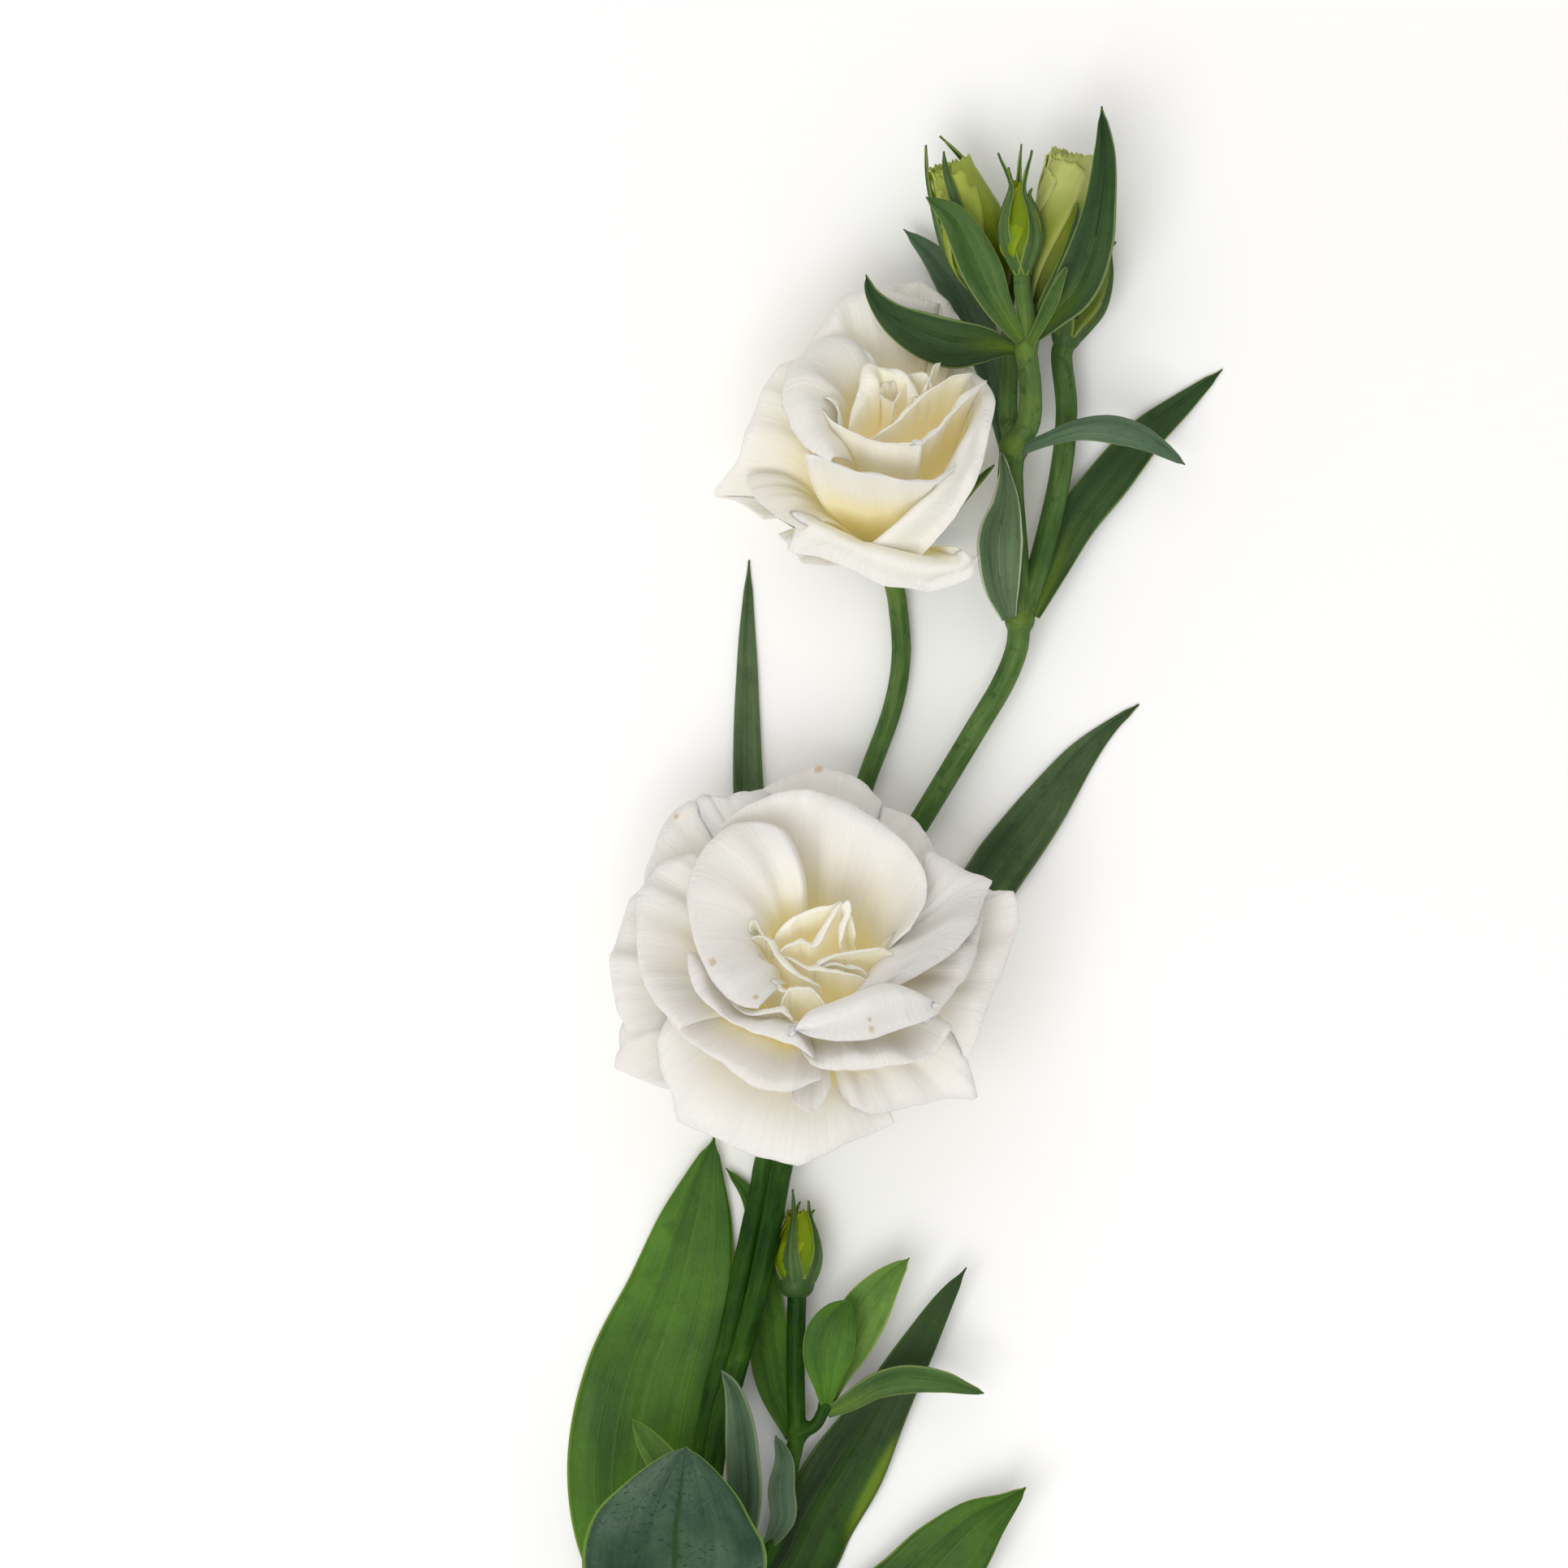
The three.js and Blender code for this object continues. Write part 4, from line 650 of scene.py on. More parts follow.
def petal_sheet(bloom, seed, rim, belly, flare, lip, roll, turn, ruffle, ridge=None, rise=2.0, sides=(0, 0),
                wide=1.0, low=2.6, pleat=0.1, swell=0.5, crisp=0.4, vary=1.0):
    """A grid of points from a petal's root to its rolled rim, and each column's share of that rim."""
    # The rim: a smooth line and a straight one through the same places, in shares
    given = bloom.rim_points(rim)
    long = np.linalg.norm(np.diff(given, axis=0), axis=1).sum()
    s = np.linspace(0, 1, int(np.clip(long / COLUMN_STEP, FEWEST_COLUMNS, MOST_COLUMNS)))
    places = np.linspace(0, 1, len(given))
    straight = np.column_stack([np.interp(s, places, given[:, k]) for k in range(3)])
    rim_line = through(given, s) * (1 - crisp) + straight * crisp
    # The root: a short line on the petal's own side of the axis
    middle = unit(bloom.outward(through(given, [0.5]))[0])
    sideways = np.cross(bloom.axis, middle)
    span = bloom.outward(rim_line[-1:]) - bloom.outward(rim_line[:1])
    sideways = sideways * np.sign(span[0] @ sideways)
    root = bloom.base + low * bloom.axis + ROOT["radius"] * middle
    start = root + np.outer(ROOT["spread"] * wide * (2 * s - 1), sideways)
    # The roll: waves along the rim, and an arc whose radius and angle change along it
    out = unit(bloom.outward(rim_line) + ROOT["pull"] * middle)
    edge_fade = np.minimum(1, 7 * np.minimum(s, 1 - s) + 0.25)
    over = bloom.heading(out, flare + 90)
    end = rim_line + (ruffle * edge_fade * wander(s, seed, 5))[:, None] * over
    radius = roll * edge_fade * (1 + 0.45 * vary * wander(s, seed + 1, 3))
    angle = np.radians(turn) * np.clip(1 + 0.6 * vary * wander(s, seed + 2, 3), 0.1, 2)
    end, curl = rolled_rim(end, bloom, out, flare, radius, angle)
    # The sheet: one cubic curve for each column, from the root to where the roll begins
    length = np.linalg.norm(end - start, axis=1)[:, None]
    if ridge is None:
        leave = start + ROOT["belly"] * length * bloom.heading(out, belly)
        arrive = end - lip * length * bloom.heading(out, flare)
        grid = cubic(start, leave, arrive, end, np.linspace(0, 1, PETAL_ROWS))
    else:
        grid = folded_rows(bloom, start, belly, ridge, rise, end, flare, out, s)
    grid = np.concatenate([grid, np.array(curl)])
    t = np.linspace(0, 1, len(grid))
    grid = swollen(grid, t, s, seed, swell, pleat)
    bow = (4 * t * (1 - t))[:, None] * (sides[1] * s**4 - sides[0] * (1 - s)**4)[None]
    return grid + bow[..., None] * sideways, s


print(f"columns in a petal: one to {COLUMN_STEP} mm of its rim, from {FEWEST_COLUMNS} to {MOST_COLUMNS}")

# %% Folds, swells and pleats
CLIMB_ROWS, FALL_ROWS = 20, 10


def folded_rows(bloom, start, belly, ridge, rise, end, flare, out, s):
    """Rows that climb to a ridge, seen from above as a line of places, and fall back from it to the rim."""
    crest = through(np.column_stack([np.asarray(ridge, float), np.zeros(len(ridge))]), s)
    crest[:, 2] = end[:, 2] + rise * (0.35 + 0.65 * np.sin(math.pi * s) ** 0.6)
    climb = np.linalg.norm(crest - start, axis=1)[:, None]
    fall = np.linalg.norm(end - crest, axis=1)[:, None]
    level = unit(unit(end - crest) + 0.55 * bloom.heading(out, 60))
    leave = start + 0.42 * climb * bloom.heading(out, belly)
    up = cubic(start, leave, crest - 0.14 * climb * level, crest, np.linspace(0, 1, CLIMB_ROWS))
    arrive = end - 0.3 * fall * bloom.heading(out, flare)
    down = cubic(crest, crest + 0.36 * fall * level, arrive, end, np.linspace(0, 1, FALL_ROWS + 1)[1:])
    return np.concatenate([up, down])


def swollen(grid, t, s, seed, swell, pleat):
    """Slow swells over the sheet and fine pleats that gather towards its rim; none at its root."""
    down, side = np.gradient(grid, axis=0), np.gradient(grid, axis=1)
    normal = unit(np.cross(side, down))
    first = np.outer(t**1.5, wander(s, seed + 3, 3))
    second = np.outer(np.sin(math.pi * t) * wander(t, seed + 4, 2), wander(s, seed + 5, 5))
    strength = np.clip(0.4 + wander(s, seed + 6, 3), 0, 1.4)
    drift = s[None] + 0.02 * wander(t, seed + 8, 2)[:, None]
    folds = np.sin(drift * len(s) * 1.9) + 0.6 * np.sin(drift * len(s) * 1.13 + seed)
    gathers = (t**4)[:, None] * strength[None] * folds
    return grid + (swell * (first + 0.3 * second) + pleat * gathers)[..., None] * normal


print("rows in a petal:", PETAL_ROWS + ROLL_ROWS, "or, over a ridge,", CLIMB_ROWS + FALL_ROWS + ROLL_ROWS)

# %% Painted shade deep in the cup
CUP_CELLS, CUP_WALL, CUP_FLOOR = 140, 14, -20.0
CUP_NEAR, CUP_REACH = 2, 5
HEART_RADIUS, HEART_FADE = 13, 11


def cup_shade_share(bloom, points):
    """How much painted shade each point takes from lying deep in the cup: 0 in the open, up to 1 between much
    higher petals on both sides. The petals' heights are kept in a grid of cells a millimetre wide."""
    reach = points - bloom.base
    height, right, ahead = reach @ bloom.axis, reach @ bloom.right, reach @ bloom.ahead
    column, row = (np.round(side).astype(int) + CUP_CELLS // 2 for side in (right, ahead))
    tops = np.full((CUP_CELLS, CUP_CELLS), CUP_FLOOR)
    np.maximum.at(tops, (column, row), height)
    tops = np.max([np.roll(tops, (i, j), (0, 1)) for i in (-1, 0, 1) for j in (-1, 0, 1)], axis=0)
    around = [(i, j) for i in range(CUP_REACH + 1) for j in range(-CUP_REACH, CUP_REACH + 1)
              if CUP_NEAR**2 <= i * i + j * j <= CUP_REACH**2 and (i > 0 or j > 0)]
    walls = 0
    for i, j in around:
        lower_side = np.minimum(tops[column + i, row + j], tops[column - i, row - j])
        walls = walls + np.clip(lower_side - height, 0, CUP_WALL)
    inside = 1 - np.clip((np.hypot(right, ahead) - HEART_RADIUS) / HEART_FADE, 0, 1)
    return inside * walls / (CUP_WALL * len(around))


print("petals count as a cup's wall up to", CUP_WALL, "mm above a point")

# %% A whole bloom
PETAL_THICKNESS, EDGE_THICKNESS = 0.42, 0.2
SEED_STEP = 10


def bloom_piece(name, bloom, petals, material, seed, cream):
    """All of a bloom's petals in one mesh."""
    pile, shades = Sheets(), []
    tones = np.random.default_rng(seed).random(len(petals))
    for number, (petal, tone) in enumerate(zip(petals.values(), tones)):
        shape = {key: value for key, value in petal.items() if key not in ("cream", "shade")}
        grid, s = petal_sheet(bloom, seed + SEED_STEP * number, **shape)
        along = np.linspace(0, 1, len(grid))
        if "ridge" in petal:
            along = np.interp(along, [0, 0.5, 1], [0, 0.76, 1])
        thickness = np.interp(along, [0, 0.6, 1], [PETAL_THICKNESS, PETAL_THICKNESS, EDGE_THICKNESS])
        pile.add(grid, thickness[:, None], along[:, None], s, tone, petal.get("cream", cream))
        shades.append(np.full(2 * len(grid) * len(s), petal.get("shade", 1.0)))
    # Each point keeps how much painted shade it takes from the higher petals round it in the cup.
    pile.values["sunk"] = [cup_shade_share(bloom, np.vstack(pile.points)) * np.concatenate(shades)]
    return pile.build(name, material)


print("a petal is", PETAL_THICKNESS, "mm thick, and", EDGE_THICKNESS, "mm at its rim")

# %% [markdown]
# The petals' finish
# Fresh white petals are not one white. They are greenish yellow at the root and a warm white where they
# lie open, with hair-fine strands from root to rim and a touch more grey at the very edge. Their golden
# cream low down and deep in the cup is partly their own colour and partly painted shade. Light passes
# through them: the shader scatters it under the surface, and a faint golden glow painted in as emission
# stands for what comes through several petals. A few bruises show where the bloom was touched.

# %% Petal white
# From root to rim: the greenish root is the petal's own colour; the golden cream low down is partly painted
# shade.
PETAL_STOPS = [(0.0, (0.46, 0.48, 0.10)), (0.16, (0.70, 0.63, 0.27)), (0.36, (0.80, 0.735, 0.50)),
               (0.6, (0.815, 0.79, 0.725)), (0.88, (0.82, 0.797, 0.765)), (1.0, (0.78, 0.75, 0.72))]
HEART_STOPS = [(0.0, (0.78, 0.66, 0.32)), (0.35, (0.87, 0.79, 0.54)), (0.65, (0.89, 0.85, 0.70)),
               (1.0, (0.90, 0.875, 0.80))]
# Colours of the painted glow that stands in for light coming through the petals.
PAINTED_GLOW, PAINTED_GLOW_TENDER = (0.95, 0.84, 0.42), (0.95, 0.88, 0.64)
STRANDS = 0.05
BRUISE = (0.50, 0.33, 0.16)
BRUISES = [(-12.3, -30.4, 0.9), (-4.9, -36.5, 0.7), (15.0, -41.9, 0.8), (14.6, -40.2, 0.5),
           (6.0, 2.6, 0.9), (-18.6, -5.6, 0.6), (-1.7, 72.6, 0.4)]


def petal_finish(name):
    look = Finish(name, Subsurface_Weight=0.65, Subsurface_Radius=(1.0, 0.92, 0.8), Subsurface_Scale=0.001,
                  Specular_IOR_Level=0.25, Emission_Strength=0.3)
    along, across, tone, cream, sunk = look.attributes("along", "across", "tone", "cream", "sunk")
    point = look.point()
    fine = look.streaks(across * 90, along * 3, tone * 40, 4, 0.6)
    broad = look.streaks(across * 26, along * 1.5, tone * 17)
    cloud = look.noise(point, 160, 3)
    # The deeper a point lies in the cup, the further its colour slides towards the golden stops: painted
    # shade.
    share = along + (cloud - 0.5) * 0.12 + (tone - 0.5) * 0.05 + (0.6 - cream) * 0.2 - sunk * 0.5
    colour = look.mix(cream, look.ramp(share, *PETAL_STOPS), look.ramp(share, *HEART_STOPS))
    shade = 1 - (fine - 0.35).ramp(0, 0.5) * STRANDS - (broad - 0.4).ramp(0, 0.5) * STRANDS * 0.4
    colour = look.darken(colour, shade)
    speckle = look.noise(point, 900, 2)
    for *place, radius in BRUISES:
        mask = 1 - (look.reach(point, place, radius) + (speckle - 0.5) * 1.6).ramp(0.3, 1.1)
        colour = look.mix(mask * 0.6, colour, BRUISE)
    look.feed("Base Color", colour)
    # The emission is a painted glow: light through the petals, strongest at the roots, in cream petals and
    # deep in the cup.
    tender = (cream - 0.45).ramp(0, 0.5)
    rooted = 1 - (along + (cloud - 0.5) * 0.2).ramp(0.2, 0.75)
    glow_amount = rooted * (0.3 + cream * 0.12) + tender * 0.2 + sunk * 0.25
    look.feed("Emission Color", look.mix(glow_amount, (0, 0, 0), look.mix(tender, PAINTED_GLOW, PAINTED_GLOW_TENDER)))
    look.feed("Roughness", 0.5 + fine * 0.12)
    gathered = along.ramp(0.6, 0.98) * 1.6 + 0.5
    look.bump(fine * gathered + broad * 0.6 + look.noise(point, 420, 3) * 0.5, 0.2, 0.75)
    return look.material


PETAL_WHITE = petal_finish("petal_white")
print("petal finish:", len(PETAL_WHITE.node_tree.nodes), "nodes")

# %% Dress the blooms
for name, petals, seed, cream in (("lower_bloom", LOWER_PETALS, 100, 0.0),
                                  ("upper_bloom", UPPER_PETALS, 700, 0.4)):
    piece = bloom_piece(name + "_petals_fine", BLOOMS[name], petals, PETAL_WHITE, seed, cream)
    settle(piece, "petals", name + "_petals")

# %% [markdown]
# Leaves and sepals
# Lisianthus leaves clasp the stem in pairs and run out to a point. Each one follows a rib, and everything
# else about it is measured from that rib: how wide it is, how far it leans, how its two halves fold up
# and how the margin wavers. That is what Geometry Nodes do well. The rib is a curve that carries the
# half-width as its radius, and one tree grows the blade along it. Columns crowd towards the midrib, where
# the groove is.

# %% The blade's tree
def curve_object(name, points, radii):
    """A curve through points, with a radius at each; both are given in the tables' millimetres."""
    data = bpy.data.curves.new(name, "CURVE")
    data.dimensions = "3D"
    spline = data.splines.new("POLY")
    spline.points.add(len(points) - 1)
    for place, point, radius in zip(spline.points, to_frame(points), radii):
        place.co = (*point, 1)
        place.radius = radius * MM
    return placed(name, data)


BLADE_CLEARANCE = 0.24


def blade_recipe():
    tree = Recipe("blade")
    rib, rows, columns, face, lean, fold, cup, ripple, phase, groove, material = tree.inputs(
        Rib="Object", Rows="Int", Columns="Int", Face="Vector", Lean="Float", Fold="Float", Cup="Float",
        Ripple="Float", Phase="Float", Groove="Float", Material="Material")
    path = tree.path_along(rib)
    sheet = tree.node("GeometryNodeMeshGrid", sockets={0: 1.0, 1: 1.0, 2: rows, 3: columns})
    x, y, _ = tree.parts(tree.node("GeometryNodeInputPosition"))
    along = x + 0.5
    across = y.sign() * (y.size() * 2) ** 1.4
    for name, value in (("along", along), ("across", across * 0.5 + 0.5)):
        sheet = tree.node("GeometryNodeStoreNamedAttribute", {"data_type": "FLOAT", "domain": "POINT"},
                          {"Geometry": sheet, "Name": name, "Value": value})
    radius = tree.node("GeometryNodeInputRadius")
    half, place, tangent = tree.node("GeometryNodeSampleCurve", {"use_all_curves": True},
                                     {"Curves": path, "Value": radius, "Factor": along},
                                     ("Value", "Position", "Tangent"))
    level = tree.vectors("NORMALIZE", tree.vectors("CROSS_PRODUCT", tangent, face))
    side = tree.node("ShaderNodeVectorRotate", {"rotation_type": "AXIS_ANGLE"},
                     {"Vector": level, "Axis": tangent, "Angle": lean * -1})
    normal = tree.vectors("CROSS_PRODUCT", side, tangent)
    reach = across * half
    wave = (along * 17 + phase + across * 1.3).sine() + (along * 41 - phase * 2 + across).sine() * 0.4
    body = (along * math.pi).sine().size() ** 0.5
    edge = across.size() ** 2.5
    rise = reach.size() * fold.sine() - cup * half * across * across + wave * edge * ripple * body
    rise = rise - groove * across.size().band(0, 0.16) * body
    offset = tree.vectors("ADD", tree.scaled(side, reach * fold.cosine()), tree.scaled(normal, rise))
    px, py, pz = tree.parts(tree.vectors("ADD", place, offset))
    lifted = tree.vector(px, py, pz.larger(BLADE_CLEARANCE * MM))
    moved = tree.node("GeometryNodeSetPosition", sockets={"Geometry": sheet, "Position": lifted})
    tree.finish(moved, material)
    return tree


BLADE = blade_recipe()
print("blade tree:", len(BLADE.tree.nodes), "nodes")

# %% [markdown]
# The greens' finishes
# The leaves on one stem are of many greens. Down by the cut they are saturated; near the buds they are
# greyed by a waxy bloom, whose clouds also stand in for a soft sheen as painted reflection; the broad one
# in front is blue-green and flecked. They do share a build: a midrib, a few long veins beside it that meet
# at the tip, a thin yellowish margin, long soft bands, and darker tissue that looks soaked. So one
# function makes them all from a handful of colours.

# %% One function for every green
TISSUE = dict(Subsurface_Weight=0.06, Subsurface_Radius=(0.4, 0.9, 0.25), Subsurface_Scale=0.0006)
WAX_AND_SHEEN = (0.085, 0.135, 0.085)
FLECK = (0.010, 0.034, 0.016)


def leaf_finish(name, dark, light, rib, margin, base=None, patch=None, blush=None, rough=0.46,
                rib_share=0.5, flecks=0.0, wax_and_sheen=0.0, edge=0.09, raised=0.3, net=0.0, grain=1.0):
    look = Finish(name, Specular_IOR_Level=0.22, **TISSUE)
    along, across = look.attributes("along", "across")
    point = look.point()
    aside = (across * 2 - 1).size()
    cloud = look.noise(point, 62, 4, 0.6)
    water = look.noise(point, 260, 5, 0.68)
    zone = look.streaks(across * 4.5, along * 1.5, 1.0, 3, 0.55)
    streak = look.streaks(across * 30, along * 2.6, 0.0, 4, 0.65)
    fine = look.streaks(across * 150, along * 22, 0.0, 3, 0.6)
    pores = look.noise(point, 1500, 2)
    # The flesh: broad zones, clouds and long bands between the two greens, and soaked tissue
    tone = zone * 0.6 + cloud * (0.7 - 0.25 * grain) + streak * (0.3 * grain) + fine * 0.08 - 0.2
    colour = look.ramp(tone, (0.36, dark), (0.66, light))
    colour = look.mix(water.ramp(0.52, 0.7) * 0.45, colour, dark)
    # The veins: the midrib, two long pairs, and short ones between them
    taper = 1 - along * 0.6
    midrib = aside.band(0, 0.055 + 0.03 * wax_and_sheen) * (along.ramp(1.0, 0.75) * 0.6 + 0.4)
    veins = (aside + (streak - 0.5) * 0.03).band(0.33, 0.03) + (aside + along * 0.08).band(0.62, 0.025)
    ribs = ((along * 7.5 - aside * 1.5 + cloud * 0.25) * TURN).sine().band(1.0, 0.06) * aside.ramp(1.0, 0.7)
    colour = look.mix((veins * 0.28 + ribs * net) * taper, colour, rib)
    # What only some leaves have
    if base:
        rooted = (1 - (along + cloud * 0.1).ramp(0.08, 0.45)) * aside.band(0, 0.9)
        colour = look.mix(rooted * 0.8, colour, base)
    if patch:
        place = (along.band(0.5, 0.2) * across.ramp(0.72, 0.98)).ramp(0.1, 0.7)
        colour = look.mix(place * 0.75, colour, patch)
    if blush:
        colour = look.mix(along.ramp(0.55, 0.72) * 0.8, colour, look.mix(cloud, blush, light))
    # A waxy bloom greys the leaf in clouds, and the same veil stands in for a soft sheen: partly painted
    # reflection.
    if wax_and_sheen:
        wax_and_sheen_veil = (cloud + fine * 0.15).ramp(0.38, 0.75)
        colour = look.mix(wax_and_sheen_veil * wax_and_sheen, colour, WAX_AND_SHEEN)
    if flecks:
        spots = look.streaks(across * 22, along * 52, 3.0, 4, 0.7)
        colour = look.mix(spots.ramp(0.55, 0.63) * cloud.ramp(0.4, 0.55) * flecks, colour, FLECK)
    # The midrib and the margin lie over all of it
    colour = look.mix(midrib * rib_share, colour, rib)
    colour = look.mix(aside.ramp(1 - edge, 1 - edge * 0.35) * 0.8, colour, margin)
    look.feed("Base Color", look.darken(colour, 0.88 + pores * 0.24))
    look.feed("Roughness", rough + (cloud - 0.5) * 0.3)
    relief = midrib * raised + veins * 0.4 + ribs * net + fine * 0.3 + pores * 0.25
    look.bump(relief + streak * 0.6 + water * 0.3, 0.22, 0.7)
    return look.material


print("under every green: light goes", TISSUE["Subsurface_Scale"] / MM, "mm deep")

# %% A handful of colours for each green
GREEN_COLOURS = {
    "low": dict(dark=(0.026, 0.086, 0.005), light=(0.074, 0.190, 0.011), rib=(0.12, 0.23, 0.03),
                margin=(0.17, 0.27, 0.03), rib_share=0.3, edge=0.05, grain=0.35),
    "side": dict(dark=(0.010, 0.044, 0.001), light=(0.060, 0.150, 0.008), rib=(0.10, 0.20, 0.03),
                 margin=(0.17, 0.27, 0.03), rib_share=0.3, edge=0.05),
    "front": dict(dark=(0.016, 0.048, 0.024), light=(0.068, 0.122, 0.072), rib=(0.016, 0.055, 0.008),
                  margin=(0.17, 0.29, 0.03), rib_share=1.0, flecks=1.0, edge=0.05, raised=-1.2, net=0.12,
                  rough=0.27, grain=0.4),
    "dark": dict(dark=(0.002, 0.014, 0.001), light=(0.022, 0.070, 0.003), rib=(0.06, 0.13, 0.02),
                 margin=(0.09, 0.15, 0.03), rib_share=0.2, patch=(0.15, 0.24, 0.008),
                 blush=(0.040, 0.048, 0.032)),
    "narrow": dict(dark=(0.030, 0.070, 0.022), light=(0.105, 0.160, 0.066), rib=(0.38, 0.45, 0.30),
                   margin=(0.10, 0.16, 0.05), rib_share=0.6),
    "light": dict(dark=(0.045, 0.125, 0.010), light=(0.135, 0.255, 0.040), rib=(0.18, 0.31, 0.05),
                  margin=(0.28, 0.38, 0.06), rib_share=0.5),
    "bright": dict(dark=(0.026, 0.076, 0.012), light=(0.086, 0.166, 0.036), rib=(0.15, 0.25, 0.05),
                   margin=(0.20, 0.27, 0.08), rib_share=0.65, base=(0.13, 0.22, 0.018)),
    "upper": dict(dark=(0.010, 0.038, 0.008), light=(0.040, 0.088, 0.022), rib=(0.08, 0.15, 0.04),
                  margin=(0.20, 0.27, 0.08), rib_share=0.35, base=(0.14, 0.23, 0.016)),
    "soft": dict(dark=(0.044, 0.098, 0.046), light=(0.125, 0.205, 0.115), rib=(0.12, 0.19, 0.10),
                 margin=(0.17, 0.22, 0.11), rib_share=0.35, wax_and_sheen=0.3),
    "grey": dict(dark=(0.014, 0.044, 0.009), light=(0.074, 0.130, 0.040), rib=(0.10, 0.16, 0.06),
                 margin=(0.16, 0.20, 0.09), rib_share=0.4, wax_and_sheen=0.15, flecks=0.4),
    "pale": dict(dark=(0.046, 0.090, 0.032), light=(0.14, 0.21, 0.10), rib=(0.26, 0.34, 0.18),
                 margin=(0.55, 0.60, 0.44), rib_share=0.6, wax_and_sheen=0.25, edge=0.12),
}
GREENS = {name: leaf_finish("leaf_" + name, **colours) for name, colours in GREEN_COLOURS.items()}
print("greens:", len(GREENS))

# %% [markdown]
# The leaves themselves
# The table keeps each leaf's rib, half-widths, lean and fold, and what only a close look shows: which
# green it is, how deep its groove runs and how much its margin droops or wavers. The leaves of the lower
# stem come first.

